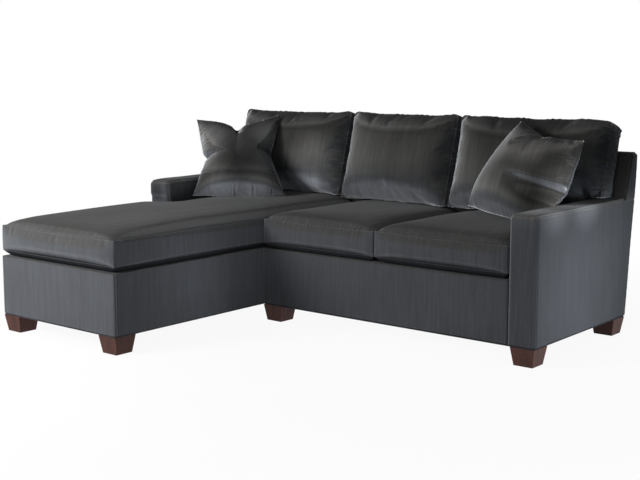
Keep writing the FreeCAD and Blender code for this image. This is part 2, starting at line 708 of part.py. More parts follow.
def back_cushion(x_low, x_high, z_seat, slant=0.0):
    """A boxed pillow back on the raked plane. Past an arm it steps out over the arm's top.

    slant is how far its left end stands forward of the back.
    """
    z_low = z_seat + SOFT_GAP
    z_high = BACK_CUSHION_TOP
    z_arm = ARM_HEIGHT + SOFT_GAP
    x_arm = X_ARM - SIDE_GAP
    steps_over = z_arm - z_low > BACK_CORNER + NOTCH_CORNER
    past_arm = x_high > x_arm or x_low < -x_arm
    if past_arm and not steps_over:
        z_low = max(z_low, z_arm)
    corners = [(x_low, z_low), (x_high, z_low), (x_high, z_high), (x_low, z_high)]
    top_side = 2
    ear_side = None
    if steps_over and x_high > x_arm:
        corners[1:3] = [(x_arm, z_low), (x_arm, z_arm), (x_high, z_arm), (x_high, z_high)]
        top_side = 4
        ear_side = 2
    if steps_over and x_low < -x_arm:
        corners[0] = (-x_arm, z_low)
        corners[3:] = [(x_low, z_high), (x_low, z_arm), (-x_arm, z_arm)]
        ear_side = 4
    count = len(corners)
    pulls = [BACK_SIDE_PULL if i in (top_side - 1, top_side + 1) else SIDE_PULL for i in range(count)]
    pulls[top_side] = BACK_TOP_PULL
    pulls[0] = 0.0
    crown_reach = BACK_FRONT[-1][0]
    ear_room = z_high - z_arm - crown_reach - 3 * BACK_CORNER
    share = [BACK_EDGE_SHARE if i == 0 else 1.0 for i in range(count)]
    if ear_side:
        share[ear_side] = min(1.0, ear_room / crown_reach)
    profile = (
        stage_heights(BACK_REAR, 0.0, BACK_LOW_SEAM),
        stage_heights(BOXING, BACK_LOW_SEAM, BACK_BOXING),
        stage_heights(BACK_FRONT, BACK_BOXING, BACK_CROWN),
    )
    stages = []
    for levels in profile:
        wires = []
        for shift, depth in levels:
            def place(x, z, depth=depth):
                lifted = z + BACK_CUSHION_RISE * depth * (z - z_low) / (z_high - z_low)
                forward = SOFT_GAP + depth + slant * (x_high - x) / (x_high - x_low)
                return Vector(x, inner_y(lifted) - forward, lifted)
            shifts = [shift * share[i] for i in range(count)]
            wires.append(soft_outline(corners, shifts, BACK_CORNER, pulls, place))
        stages.append(wires)
    return soft_body(stages)


def make_back_cushions():
    z_seat = DECK_HEIGHT + SOFT_GAP + SEAT_CROWN
    z_chaise = DECK_HEIGHT + SOFT_GAP + CHAISE_CROWN
    gap = SIDE_GAP
    x_left = BACK_CUSHION_LEFT_INSET - OVERALL_WIDTH / 2
    x_right = OVERALL_WIDTH / 2 - BACK_CUSHION_RIGHT_INSET
    first = X_JOINT - BACK_CUSHION_SHIFTS[0]
    second = X_SEAT_SPLIT - BACK_CUSHION_SHIFTS[1]
    save("back_cushion_left", back_cushion(x_left, first - gap, z_chaise, BACK_CUSHION_SLANT))
    save("back_cushion_middle", back_cushion(first + gap, second - gap, z_seat))
    save("back_cushion_right", back_cushion(second + gap, x_right, z_seat))


def throw_pillow(corners, crown, x, from_back, tilt, seat):
    """A knife-edged pillow with pointed corners and a dented top, let down onto the seat."""
    stages = []
    for way in (1, -1):
        wires = []
        for shift, share in PILLOW_HALF:
            place = lambda a, b, depth=way * share * crown: Vector(a, depth, b)
            wires.append(soft_outline(corners, [shift] * 4, PILLOW_CORNER, PILLOW_PULLS, place))
        stages.append(wires)
    stages[0].reverse()
    pillow = soft_body(stages)
    turn, lean, roll = tilt
    turned = Rotation(Vector(0, 0, 1), turn) * Rotation(Vector(1, 0, 0), -lean)
    turned = turned * Rotation(Vector(0, 1, 0), roll)
    above = seat.BoundBox.ZMax + max(-corner[1] for corner in corners)
    pillow.Placement = Placement(Vector(x, Y_BACK - from_back, above), turned)
    for settle in range(SETTLE_STEPS):
        drop = pillow.distToShape(seat)[0] - SOFT_GAP
        pillow.translate(Vector(0, 0, -drop))
    return pillow


def make_throw_pillows(left_seat, right_seat):
    from_end, from_back = LEFT_PILLOW_INSET
    x = from_end - OVERALL_WIDTH / 2
    left = throw_pillow(LEFT_PILLOW, LEFT_PILLOW_CROWN, x, from_back, LEFT_PILLOW_TILT, left_seat)
    save("throw_pillow_left", left)
    from_end, from_back = RIGHT_PILLOW_INSET
    x = OVERALL_WIDTH / 2 - from_end
    right = throw_pillow(RIGHT_PILLOW, RIGHT_PILLOW_CROWN, x, from_back, RIGHT_PILLOW_TILT, right_seat)
    save("throw_pillow_right", right)


for section in (CHAISE, LOVESEAT):
    springs_along_y = section is LOVESEAT
    make_rails(section)
    make_cross_rails(section, springs_along_y)
    make_corner_blocks(section)
    make_feet(section)
    make_arm_frame(section)
    make_back_frame(section)
    make_springs(section, springs_along_y)
    make_deck(section)
    make_base_panels(section)
    make_arm_covers(section)
    make_back_covers(section)
    make_dust_cover(section)
    make_welt(section)
make_connectors()
seats = make_seat_cushions()
make_back_cushions()
make_throw_pillows(seats[2], seats[1])
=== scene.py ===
import json
import math

import bpy
import numpy as np
from mathutils import Matrix, Vector


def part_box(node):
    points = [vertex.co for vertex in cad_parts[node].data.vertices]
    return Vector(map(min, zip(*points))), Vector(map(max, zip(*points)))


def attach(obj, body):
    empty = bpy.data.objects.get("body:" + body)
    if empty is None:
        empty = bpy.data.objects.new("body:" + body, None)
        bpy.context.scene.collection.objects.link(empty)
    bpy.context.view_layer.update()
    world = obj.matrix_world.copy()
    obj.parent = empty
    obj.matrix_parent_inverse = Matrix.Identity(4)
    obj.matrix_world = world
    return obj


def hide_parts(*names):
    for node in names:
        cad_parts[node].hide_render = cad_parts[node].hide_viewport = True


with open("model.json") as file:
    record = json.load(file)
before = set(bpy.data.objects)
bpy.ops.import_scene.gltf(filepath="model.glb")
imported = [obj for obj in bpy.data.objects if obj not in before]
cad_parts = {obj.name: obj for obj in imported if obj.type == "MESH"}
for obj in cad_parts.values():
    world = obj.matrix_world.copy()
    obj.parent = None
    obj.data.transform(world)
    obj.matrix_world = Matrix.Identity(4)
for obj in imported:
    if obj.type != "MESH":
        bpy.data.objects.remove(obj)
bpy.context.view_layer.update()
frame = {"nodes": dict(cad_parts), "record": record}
NODES = frame["nodes"]
BODY_OF = {n: b for b, members in frame["record"]["behaviour"]["bodies"].items() for n in members}

# Sizes shared with the model, in millimetres
WIDTH = 2210.0
DEPTH = 911.0
CHAISE_REACH = 914.0
CHAISE_WIDTH = 768.0
ARM_WIDTH = 125.0
ARM_HEIGHT = 612.0
BACK_HEIGHT = 812.0
BACK_TOP_DEPTH = 54.0
BACK_RAKE = 15.7
DECK = 345.0
GAP = 0.4
SIDE_GAP = 1.5
Y_BACK = (DEPTH + CHAISE_REACH) / 2
Y_SOFA = Y_BACK - DEPTH
Y_CHAISE = Y_SOFA - CHAISE_REACH
X_JOINT = CHAISE_WIDTH - WIDTH / 2
ARM_INNER = WIDTH / 2 - ARM_WIDTH

# The photo's camera, in pixels, metres and degrees, with its sensor in millimetres
PICTURE_WIDTH = 640
FOCAL_PIXELS = 1134.6
SENSOR_WIDTH = 36.0
CAMERA_AT = (3.2238, -3.9267, 1.180)
CAMERA_DOWN = 8.55
CAMERA_TURN = 39.3

# Each lamp's place, target, diameter and power. The fills light the right side with a narrow,
# slightly blue beam: their colour and spread follow.
NEUTRAL = (1, 1, 1)
LAMPS = {
    "key": ((-1.2, -2.7, 1.4), (0.0, 0.4, 0.5), 1.0, 118),
    "side": ((-2.7, -1.2, 1.2), (0.0, 0.4, 0.7), 0.9, 26),
    "low": ((0.9, -3.8, 0.45), (0.4, 0.4, 0.5), 1.4, 44),
    "top": ((1.5, -0.8, 2.4), (1.0, 0.3, 0.5), 1.0, 9),
    "fill": ((3.6, 0.6, 0.3), (1.1, 0.35, 0.25), 0.6, 5.4, (0.90, 0.95, 1.0), 34.0),
    "fill_low": ((3.6, -1.8, 0.3), (-0.34, -0.45, 0.35), 0.6, 1.5, (0.97, 0.97, 1.0), 22.0),
    "rear": ((-0.6, 4.4, 0.9), (0.0, 0.9, 0.45), 1.6, 60),
}
SKY_COLOUR = (0.86, 0.93, 1.0)
SKY_STRENGTH = 0.10

# The floor glows a little less near the sofa, which keeps the shadow
FLOOR_HALF = 60.0
FLOOR_GREY = (0.6, 0.6, 0.6)
FLOOR_FADE = (1.2, 3.2, 0.93, 1.0)


def inner_y(z):
    """The raked plane that the back cushions lean on."""
    return Y_BACK - BACK_TOP_DEPTH - (BACK_HEIGHT - z) * math.tan(math.radians(BACK_RAKE))


def new_object(name, data):
    """An object in the scene."""
    obj = bpy.data.objects.new(name, data)
    bpy.context.scene.collection.objects.link(obj)
    return obj


# Node trees


class Nodes:
    """The nodes of a world or a material, with short ways to add and join them."""

    def __init__(self, owner):
        owner.use_nodes = True
        self.tree = owner.node_tree
        self.tree.nodes.clear()

    def feed(self, sockets, values):
        """Puts a number, a colour, a vector or another node's output into each socket."""
        for socket, value in zip(sockets, values):
            if isinstance(value, (int, float)):
                socket.default_value = value
            elif isinstance(value, tuple):
                socket.default_value = (*value, 1)[: len(socket.default_value)]
            else:
                self.tree.links.new(value, socket)

    def put(self, made, **values):
        """Feeds sockets by their names, with _ for a space."""
        self.feed([made.inputs[name.replace("_", " ")] for name in values], values.values())

    def node(self, kind, *values, **settings):
        made = self.tree.nodes.new(kind)
        for key, value in settings.items():
            setattr(made, key, value)
        self.feed(made.inputs, values)
        return made

    def noise(self, vector, scale=1.0, detail=3.0, roughness=0.55):
        made = self.node("ShaderNodeTexNoise")
        self.put(made, Vector=vector, Scale=scale, Detail=detail, Roughness=roughness)
        return made.outputs["Fac"]

    def ramp(self, factor, *stops):
        made = self.node("ShaderNodeValToRGB", factor)
        elements = made.color_ramp.elements
        while len(elements) < len(stops):
            elements.new(0.5)
        for element, (at, colour) in zip(elements, stops):
            element.position = at
            element.color = (*colour, 1)
        return made.outputs[0]

    def span(self, value, low, high, to_low=0.0, to_high=1.0, easing="LINEAR"):
        values = (value, low, high, to_low, to_high)
        return self.node("ShaderNodeMapRange", *values, interpolation_type=easing).outputs[0]

    def math(self, operation, a, b):
        return self.node("ShaderNodeMath", a, b, operation=operation).outputs[0]

    def mix(self, factor, a, b, kind="RGBA", blend="MIX"):
        made = self.node("ShaderNodeMix", data_type=kind, blend_type=blend)
        self.feed([s for s in made.inputs if s.enabled], (factor, a, b))
        return [s for s in made.outputs if s.enabled][0]

    def bump(self, height, strength, distance, under=None):
        made = self.node("ShaderNodeBump")
        self.put(made, Height=height, Strength=strength, Distance=distance)
        if under is not None:
            self.put(made, Normal=under)
        return made.outputs[0]

    def shown_rays(self):
        """1 for rays that the eye, a mirror or glass sends out, 0 for the rest."""
        path = self.node("ShaderNodeLightPath").outputs
        mirrored = self.math("MAXIMUM", path["Is Camera Ray"], path["Is Glossy Ray"])
        return self.math("MAXIMUM", mirrored, path["Is Transmission Ray"])

    def blend(self, share, lit, seen, output):
        """Sends out a blend of two shaders."""
        mix = self.node("ShaderNodeMixShader", share, lit.outputs[0], seen.outputs[0])
        self.node(output, mix.outputs[0])


# Stage, camera and light


def new_camera():
    data = bpy.data.cameras.new("camera")
    data.sensor_width = SENSOR_WIDTH
    data.lens = FOCAL_PIXELS / PICTURE_WIDTH * SENSOR_WIDTH
    cam = new_object("camera", data)
    cam.location = CAMERA_AT
    cam.rotation_euler = (math.radians(90 - CAMERA_DOWN), 0, math.radians(CAMERA_TURN))
    bpy.context.scene.camera = cam


def area_light(name, at, towards, size, power, colour=NEUTRAL, spread=180.0):
    data = bpy.data.lights.new(name, "AREA")
    data.shape = "DISK"
    data.size = size
    data.energy = power
    data.spread = math.radians(spread)
    data.color = colour
    lamp = new_object(name, data)
    lamp.location = at
    lamp.rotation_euler = (Vector(towards) - Vector(at)).to_track_quat("-Z", "Y").to_euler()


def new_world():
    world = bpy.data.worlds.new("world")
    bpy.context.scene.world = world
    s = Nodes(world)
    lit = s.node("ShaderNodeBackground", SKY_COLOUR, SKY_STRENGTH)
    seen = s.node("ShaderNodeBackground", NEUTRAL)
    s.blend(s.shown_rays(), lit, seen, "ShaderNodeOutputWorld")


def new_floor():
    mesh = bpy.data.meshes.new("floor")
    h = FLOOR_HALF
    mesh.from_pydata([(-h, -h, 0), (h, -h, 0), (h, h, 0), (-h, h, 0)], [], [(0, 1, 2, 3)])
    mesh.materials.append(bpy.data.materials.new("floor"))
    s = Nodes(mesh.materials[0])
    plain = s.node("ShaderNodeBsdfDiffuse", FLOOR_GREY)
    white = s.node("ShaderNodeEmission", NEUTRAL)
    coords = s.node("ShaderNodeTexCoord").outputs["Object"]
    away = s.node("ShaderNodeVectorMath", coords, operation="LENGTH").outputs["Value"]
    share = s.math("MULTIPLY", s.shown_rays(), s.span(away, *FLOOR_FADE))
    s.blend(share, plain, white, "ShaderNodeOutputMaterial")
    new_object("floor", mesh)


new_camera()
new_world()
new_floor()
for lamp_name, lamp_values in LAMPS.items():
    area_light(lamp_name, *lamp_values)
bpy.context.scene.view_settings.view_transform = "Standard"

# Materials


class Shader(Nodes):
    """A material with one principled surface, in the object's own coordinates."""

    def __init__(self, name):
        self.material = bpy.data.materials.new(name)
        super().__init__(self.material)
        self.principled = self.node("ShaderNodeBsdfPrincipled")
        self.node("ShaderNodeOutputMaterial", self.principled.outputs[0])
        self.coords = self.node("ShaderNodeTexCoord").outputs["Object"]

    def scaled(self, scale):
        mapping = self.node("ShaderNodeMapping")
        self.put(mapping, Vector=self.coords, Scale=scale)
        return mapping.outputs[0]

    def done(self, **values):
        self.put(self.principled, **values)
        return self.material


# Painted light and shade by how far a face looks up: 0 straight down, 0.5 upright, 1 straight up.
# Faces looking down get painted light, tops get painted shade
PAINTED_TOP_SHADE = (0.95, (0.80, 0.77, 0.735))
PAINTED_SLOPE_LIGHT_SEAT = (
    (0.18, (1.9, 2.02, 2.3)),
    (0.43, (0.86, 0.91, 1.02)),
    (0.55, (0.86, 0.91, 1.02)),
    (0.64, (0.78, 0.77, 0.75)),
    (0.84, (0.70, 0.675, 0.645)),
    PAINTED_TOP_SHADE,
)
PAINTED_SLOPE_LIGHT_BACK = (
    (0.18, (2.10, 2.22, 2.50)),
    (0.40, (1.60, 1.69, 1.88)),
    (0.50, (0.96, 1.00, 1.08)),
    (0.55, (0.86, 0.90, 0.96)),
    (0.63, (1.32, 1.30, 1.23)),
    (0.70, (0.98, 0.96, 0.91)),
    (0.75, (0.76, 0.75, 0.71)),
    (0.81, (1.85, 1.80, 1.70)),
    (0.87, (1.20, 1.16, 1.10)),
    PAINTED_TOP_SHADE,
)
# Painted light and shade on the loose cushions by how far a face looks right: 0 left, 1 right.
# Faces looking left get painted light, faces looking right get painted shade
PAINTED_LIGHT_SIDEWAYS = (
    (0.12, (2.10, 2.10, 2.08)),
    (0.30, (1.75, 1.75, 1.73)),
    (0.42, (1.12, 1.12, 1.11)),
    (0.50, (0.78, 0.78, 0.78)),
    (0.62, (0.64, 0.64, 0.65)),
    (0.80, (0.56, 0.57, 0.58)),
)
# Painted shade on the undersides of the seat cushions
PAINTED_SHADE_UNDER = (0.34, 0.36, 0.41)
# Heights in metres between which the tones change over
ABOVE_SEATS = (0.545, 0.60)
ABOVE_ARMS = (0.60, 0.66)
# Spots of painted light and painted shade, as a centre and a radius in metres and a brightness
PAINTED_LIGHT_SPOTS = (
    ((-0.751, 0.285, 0.690), 0.15, 0.45),
    ((-0.775, 0.165, 0.618), 0.13, 1.7),
    ((-0.650, 0.280, 0.618), 0.13, 1.7),
    ((-0.960, 0.290, 0.865), 0.15, 2.4),
    ((-0.740, 0.490, 0.865), 0.13, 2.3),
    ((-0.885, 0.120, 0.640), 0.09, 0.7),
    ((0.885, 0.325, 0.668), 0.17, 0.18),
    ((0.925, 0.395, 0.845), 0.12, 0.20),
    ((0.700, 0.545, 0.900), 0.10, 1.5),
    ((0.530, 0.655, 0.850), 0.26, 0.55),
    ((0.740, 0.700, 0.920), 0.16, 0.62),
    ((-0.530, 0.620, 0.710), 0.20, 2.4),
    ((-0.530, 0.570, 0.605), 0.10, 1.5),
    ((1.030, 0.150, 0.670), 0.20, 2.6),
    ((1.030, 0.420, 0.670), 0.20, 2.9),
    ((1.060, 0.770, 0.800), 0.17, 0.40),
    ((-1.060, -0.010, 0.565), 0.07, 0.5),
)
# Darkest and lightest dye, then the streaks along the pile: how many across and along a metre
DYE = ((0.30, (0.033, 0.033, 0.033)), (0.72, (0.042, 0.042, 0.042)))
STREAKS_BROAD = (210.0, 6.0, 3.0)
STREAKS_FINE = (640.0, 24.0, 2.0)
STREAKS_WIDE = (75.0, 4.0, 3.0)


def painted_sideways_and_spot_light(s, across, height):
    """Painted light and shade by how far a face looks sideways on the loose cushions, and in each
    painted spot.
    """
    tone = s.ramp(s.span(across, -1.0, 1.0), *PAINTED_LIGHT_SIDEWAYS)
    tone = s.mix(s.span(height, *ABOVE_ARMS), NEUTRAL, tone)
    # Each spot brightens or darkens the colour as painted light or painted shade
    for centre, radius, gain in PAINTED_LIGHT_SPOTS:
        away = s.node("ShaderNodeVectorMath", s.coords, centre, operation="DISTANCE")
        painted_spot = s.span(away.outputs["Value"], 0.2 * radius, radius, gain, 1.0, "SMOOTHSTEP")
        tone = s.mix(1.0, tone, painted_spot, blend="MULTIPLY")
    return tone


def velvet():
    """Cut pile with its nap running down the fronts and towards the front on the tops. Its tone by
    which way a face looks, and in spots, is painted light and shade.
    """
    s = Shader("velvet")
    normal = s.node("ShaderNodeNewGeometry").outputs["Normal"]
    across, _, up = s.node("ShaderNodeSeparateXYZ", normal).outputs
    height = s.node("ShaderNodeSeparateXYZ", s.coords).outputs[2]
    slope = s.span(up, -1.0, 1.0)
    # Painted light and shade by how far a face looks up, with the seat ramp low down and the back
    # ramp higher up
    painted_light_hue = s.mix(s.span(height, *ABOVE_SEATS), s.ramp(slope, *PAINTED_SLOPE_LIGHT_SEAT), s.ramp(slope, *PAINTED_SLOPE_LIGHT_BACK))
    # Painted light and shade by how far a face looks sideways, and in the painted spots
    painted_light_mix = painted_sideways_and_spot_light(s, across, height)
    painted_light_hue = s.mix(1.0, painted_light_hue, painted_light_mix, blend="MULTIPLY")
    # Painted shade on the undersides of the seat cushions, where the sheen is also taken away
    under = s.math("MULTIPLY", s.span(slope, 0.37, 0.29), s.span(height, 0.52, 0.42))
    painted_light_hue = s.mix(under, painted_light_hue, PAINTED_SHADE_UNDER)
    sideways = s.span(s.math("ABSOLUTE", across, 0.0), 0.55, 0.8)

    def streaks(many, few, detail):
        front = s.scaled((many, few, few))
        side = s.scaled((few, many, few))
        return s.noise(s.mix(sideways, front, side, "VECTOR"), 1.0, detail)

    broad = streaks(*STREAKS_BROAD)
    fine = streaks(*STREAKS_FINE)
    wide = streaks(*STREAKS_WIDE)
    patches = s.noise(s.coords, 2.6, 6.0, 0.68)
    shade = s.math(
        "MULTIPLY", s.span(patches, 0.3, 0.7, 0.86, 1.12), s.span(fine, 0.3, 0.7, 0.90, 1.10)
    )
    shade = s.math("MULTIPLY", shade, s.span(wide, 0.3, 0.7, 0.87, 1.12))
    brightness = s.ramp(s.math("MULTIPLY", shade, 0.5), (0.0, (0, 0, 0)), (1.0, (2, 2, 2)))
    colour = s.mix(1.0, s.ramp(broad, *DYE), painted_light_hue, blend="MULTIPLY")
    colour = s.mix(1.0, colour, brightness, blend="MULTIPLY")
    sheen = s.math(
        "MULTIPLY", s.math("SUBTRACT", 1.0, under), s.span(slope, 0.86, 0.96, 1.0, 0.08)
    )
    # The sheen's tint carries the same painted light and shade
    sheen_tint = s.mix(1.0, painted_light_mix, (0.72, 0.74, 0.77), blend="MULTIPLY")
    relief = s.bump(broad, 0.12, 0.001)
    relief = s.bump(fine, 0.25, 0.0005, relief)
    s.done(Base_Color=colour, Sheen_Weight=sheen, Sheen_Tint=sheen_tint, Normal=relief)
    return s.done(Roughness=0.8, Sheen_Roughness=0.38, Specular_IOR_Level=0.02)


def wood(name, light, dark, pore, roughness, specular=0.5):
    """Fine upright grain with darker pores."""
    s = Shader(name)
    grain = s.noise(s.scaled((60.0, 60.0, 7.0)), 1.0, 6.0, 0.62)
    pores = s.noise(s.scaled((420.0, 420.0, 30.0)), 1.0, 2.0)
    colour = s.ramp(grain, (0.32, dark), (0.68, light))
    colour = s.mix(s.span(pores, 0.58, 0.75, 0.0, 0.6), colour, pore)
    relief = s.bump(pores, 0.25, 0.0004)
    s.done(Base_Color=colour, Normal=relief)
    return s.done(Roughness=roughness, Specular_IOR_Level=specular)


def woven(name, light, dark, pitch):
    """Plain weave with a given number of threads to the metre, and a cloudy tone."""
    s = Shader(name)
    wave_x = s.node("ShaderNodeTexWave", bands_direction="X")
    wave_y = s.node("ShaderNodeTexWave", bands_direction="Y")
    for wave in (wave_x, wave_y):
        s.put(wave, Vector=s.coords, Scale=pitch, Distortion=0.6)
    weave = s.math("MULTIPLY", wave_x.outputs["Fac"], wave_y.outputs["Fac"])
    cloud = s.noise(s.coords, 9.0, 4.0)
    threads = s.ramp(weave, (0.1, dark), (0.8, light))
    colour = s.mix(s.span(cloud, 0.3, 0.7, 0.0, 0.5), threads, dark)
    return s.done(Base_Color=colour, Normal=s.bump(weave, 0.4, 0.0008), Roughness=0.9)


def foam():
    """Open cells in a pale yellow."""
    s = Shader("foam")
    cells = s.node("ShaderNodeTexVoronoi")
    s.put(cells, Vector=s.coords, Scale=420.0)
    colour = s.ramp(s.noise(s.coords, 6.0), (0.3, (0.72, 0.66, 0.48)), (0.7, (0.80, 0.75, 0.58)))
    relief = s.bump(cells.outputs["Distance"], 0.5, 0.001)
    return s.done(Base_Color=colour, Normal=relief, Roughness=0.95)


def steel(name, colour, roughness):
    """Bare steel with fine scratches, which are darker and change the gloss."""
    s = Shader(name)
    scratches = s.noise(s.scaled((40.0, 300.0, 300.0)), 1.0, 4.0)
    worn = tuple(0.6 * c for c in colour)
    colour = s.mix(s.span(scratches, 0.4, 0.7, 0.0, 0.5), colour, worn)
    gloss = s.span(scratches, 0.3, 0.7, roughness * 0.8, roughness * 1.3)
    return s.done(Base_Color=colour, Roughness=gloss, Metallic=1.0)


FOOT_TONES = ((0.050, 0.016, 0.011), (0.019, 0.007, 0.005), (0.010, 0.004, 0.003))
FRAME_TONES = ((0.55, 0.40, 0.25), (0.42, 0.29, 0.17), (0.33, 0.22, 0.13))
SHADERS = {
    "velvet": velvet(),
    "foot_wood": wood("foot_wood", *FOOT_TONES, 0.55, specular=0.2),
    "frame_wood": wood("frame_wood", *FRAME_TONES, 0.7),
    "deck_cloth": woven("deck_cloth", (0.060, 0.062, 0.066), (0.022, 0.023, 0.026), 300.0),
    "dust_cloth": woven("dust_cloth", (0.020, 0.020, 0.021), (0.008, 0.008, 0.009), 420.0),
    "foam": foam(),
    "spring_steel": steel("spring_steel", (0.30, 0.30, 0.31), 0.35),
    "connector_steel": steel("connector_steel", (0.50, 0.50, 0.51), 0.42),
}
SLOT_OF = {entry["node"]: entry["material_slot"] for entry in frame["record"]["subparts"]}


def dress(obj, slot):
    obj.data.materials.clear()
    obj.data.materials.append(SHADERS[slot])


for node_name, node in NODES.items():
    dress(node, SLOT_OF[node_name])


# Mesh helpers


def new_piece(name, points, faces):
    """A smooth mesh from points in millimetres."""
    mesh = bpy.data.meshes.new(name)
    mesh.from_pydata([tuple(p) for p in np.asarray(points) / 1000.0], [], faces)
    mesh.validate()
    mesh.polygons.foreach_set("use_smooth", [True] * len(mesh.polygons))
    return new_object(name, mesh)


def points_of(obj):
    co = np.empty(len(obj.data.vertices) * 3)
    obj.data.vertices.foreach_get("co", co)
    return co.reshape(-1, 3) * 1000.0


def set_points(obj, points):
    obj.data.vertices.foreach_set("co", (points / 1000.0).ravel())
    obj.data.update()


def edges_of(obj):
    pairs = np.empty(len(obj.data.edges) * 2, dtype=np.int64)
    obj.data.edges.foreach_get("vertices", pairs)
    return pairs.reshape(-1, 2)


def relax(points, pairs):
    """Moves each point halfway to the middle of its neighbours."""
    count = np.bincount(pairs.ravel(), minlength=len(points))[:, None].clip(1)
    total = np.zeros_like(points)
    np.add.at(total, pairs[:, 0], points[pairs[:, 1]])
    np.add.at(total, pairs[:, 1], points[pairs[:, 0]])
    return points + 0.5 * (total / count - points)


def normals_of(obj):
    n = np.empty(len(obj.data.vertices) * 3)
    obj.data.vertices.foreach_get("normal", n)
    return n.reshape(-1, 3)


def waves(points, length, seed):
    """A smooth random field from -1 to 1 that changes over about the given length."""
    rng = np.random.default_rng(seed)
    total = np.zeros(len(points))
    count = 7
    for _ in range(count):
        direction = rng.normal(size=3)
        direction /= np.linalg.norm(direction)
        k = 2 * math.pi / (length * rng.uniform(0.7, 1.6))
        total += np.sin(points @ direction * k + rng.uniform(0, 2 * math.pi))
    return total / math.sqrt(count) / 1.4


def apply_modifiers(obj):
    """The mesh as its modifiers leave it, with the modifiers gone."""
    bpy.context.view_layer.update()
    evaluated = obj.evaluated_get(bpy.context.evaluated_depsgraph_get())
    mesh = bpy.data.meshes.new_from_object(evaluated)
    old = obj.data
    obj.modifiers.clear()
    obj.data = mesh
    bpy.data.meshes.remove(old)
    obj.data.polygons.foreach_set("use_smooth", [True] * len(obj.data.polygons))


def keep_local(obj, local):
    """Remembers where each point lies in the cushion's own frame, also through later modifiers."""
    attribute = obj.data.attributes.new("local", "FLOAT_VECTOR", "POINT")
    attribute.data.foreach_set("vector", local.ravel())


def local_of(obj):
    values = np.empty(len(obj.data.vertices) * 3)
    obj.data.attributes["local"].data.foreach_get("vector", values)
    return values.reshape(-1, 3)


CLOTH_STIFFNESS = 15.0
CLOTH_FRAMES = 14


def inflate(obj, pressure, limit, shrink, bending):
    """Swells a closed form as cloth. Its seams draw in, and no point moves past the limit."""
    before = points_of(obj)
    cloth = obj.modifiers.new("cloth", "CLOTH")
    settings = cloth.settings
    settings.quality = 4
    settings.mass = 0.25
    settings.tension_stiffness = settings.compression_stiffness = CLOTH_STIFFNESS
    settings.shear_stiffness = CLOTH_STIFFNESS / 3
    settings.bending_stiffness = bending
    settings.tension_damping = settings.compression_damping = 12.0
    settings.air_damping = 4.0
    settings.use_pressure = True
    settings.uniform_pressure_force = pressure
    settings.effector_weights.gravity = 0.0
    settings.vertex_group_mass = "held"
    settings.vertex_group_shrink = "seam"
    settings.shrink_min = 0.0
    settings.shrink_max = shrink
    cloth.collision_settings.use_collision = False
    cloth.collision_settings.use_self_collision = False
    cloth.point_cache.frame_start = 1
    cloth.point_cache.frame_end = CLOTH_FRAMES
    for number in range(1, CLOTH_FRAMES + 1):
        bpy.context.scene.frame_set(number)
    apply_modifiers(obj)
    bpy.context.scene.frame_set(1)
    move = points_of(obj) - before
    size = np.linalg.norm(move, axis=1, keepdims=True).clip(1e-9)
    set_points(obj, before + move * np.minimum(1.0, limit / size))


def subdivide(obj):
    modifier = obj.modifiers.new("fine", "SUBSURF")
    modifier.levels = modifier.render_levels = 1
    apply_modifiers(obj)


def join_body(obj, node):
    """Gives a soft piece its cloth and ties it to the body of its node."""
    dress(obj, "velvet")
    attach(obj, BODY_OF[node])


def settle(obj, node):
    """Ties a finished soft piece to its body and hides the solid that it stands for."""
    join_body(obj, node)
    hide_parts(node)


# Upholstered panels

# Radii of the soft edges, and the room left on each side of the joint
ARM_EDGE = 17.0
BACK_EDGE = 15.0
BASE_EDGE = 8.0
JOINT_ROOM = 0.3
# How the left arm's padding rises, bulges sideways and sinks at its front corner
ARM_RISE = 13.0
ARM_BULGE = 7.0
ARM_SINK = 9.0
# Mesh size, unevenness and how far the cover stands proud
PANEL_CLOTH = (4.0, 0.8, 2.2)
WELT_CLOTH = (2.5, 0.0, 0.3)


def rounded(points, faces, radius):
    """Turns square edges between outer faces into soft ones. A face: axis, place and side."""
    depths = np.zeros((len(points), 3))
    for axis, place, side in faces:
        gap = (place - points[:, axis]) * side
        depth = np.clip(radius - gap, 0, None) * (gap < radius)
        depths[:, axis] = np.maximum(depths[:, axis], depth)
    most = depths.max(axis=1)
    length = np.linalg.norm(depths, axis=1)
    factor = np.divide(most, length, out=np.ones(len(points)), where=length > 0)
    points = points.copy()
    for axis, place, side in faces:
        gap = (place - points[:, axis]) * side
        near = (gap < radius) & (depths[:, axis] > 0)
        points[near, axis] = place - side * (radius - depths[near, axis] * factor[near])
    return points


def soft_edges(node, points):
    """Softens a panel along the outer edges of the arm, the back or the base."""
    if "_arm_" in node:
        side = -1 if node.startswith("left") else 1
        faces = [(0, side * WIDTH / 2, side), (0, side * ARM_INNER, -side)]
        faces += [(1, Y_SOFA, -1), (2, ARM_HEIGHT, 1)]
        return rounded(points, faces, ARM_EDGE)
    if "back" in node:
        side = -1 if node.startswith("chaise") else 1
        faces = [(0, side * WIDTH / 2, side), (1, Y_BACK, 1), (2, BACK_HEIGHT, 1)]
        return rounded(points, faces, BACK_EDGE)
    if node.startswith("chaise"):
        faces = [(0, -WIDTH / 2, -1), (0, X_JOINT, 1), (1, Y_CHAISE, -1), (1, Y_BACK, 1)]
        return rounded(points, faces, BASE_EDGE)
    return points


def plump_left_arm(points):
    """The left arm's padding stands a little proud, and its front corner is well rounded."""
    clear = np.clip((560.0 - points[:, 1]) / 160.0, 0, 1)
    high = np.clip((points[:, 2] - 538.0) / 14.0, 0, 1)
    near = np.exp(-np.clip(points[:, 1] - Y_SOFA, 0, None) / 30.0)
    points = points.copy()
    points[:, 2] += (ARM_RISE * clear - ARM_SINK * near) * high
    points[:, 1] -= ARM_BULGE * near * high
    raised = np.clip((points[:, 2] - 250.0) / 230.0, 0, 1)
    outside = np.clip((-1040.0 - points[:, 0]) / 40.0, 0, 1)
    points[:, 0] -= ARM_BULGE * raised * clear * outside
    return points


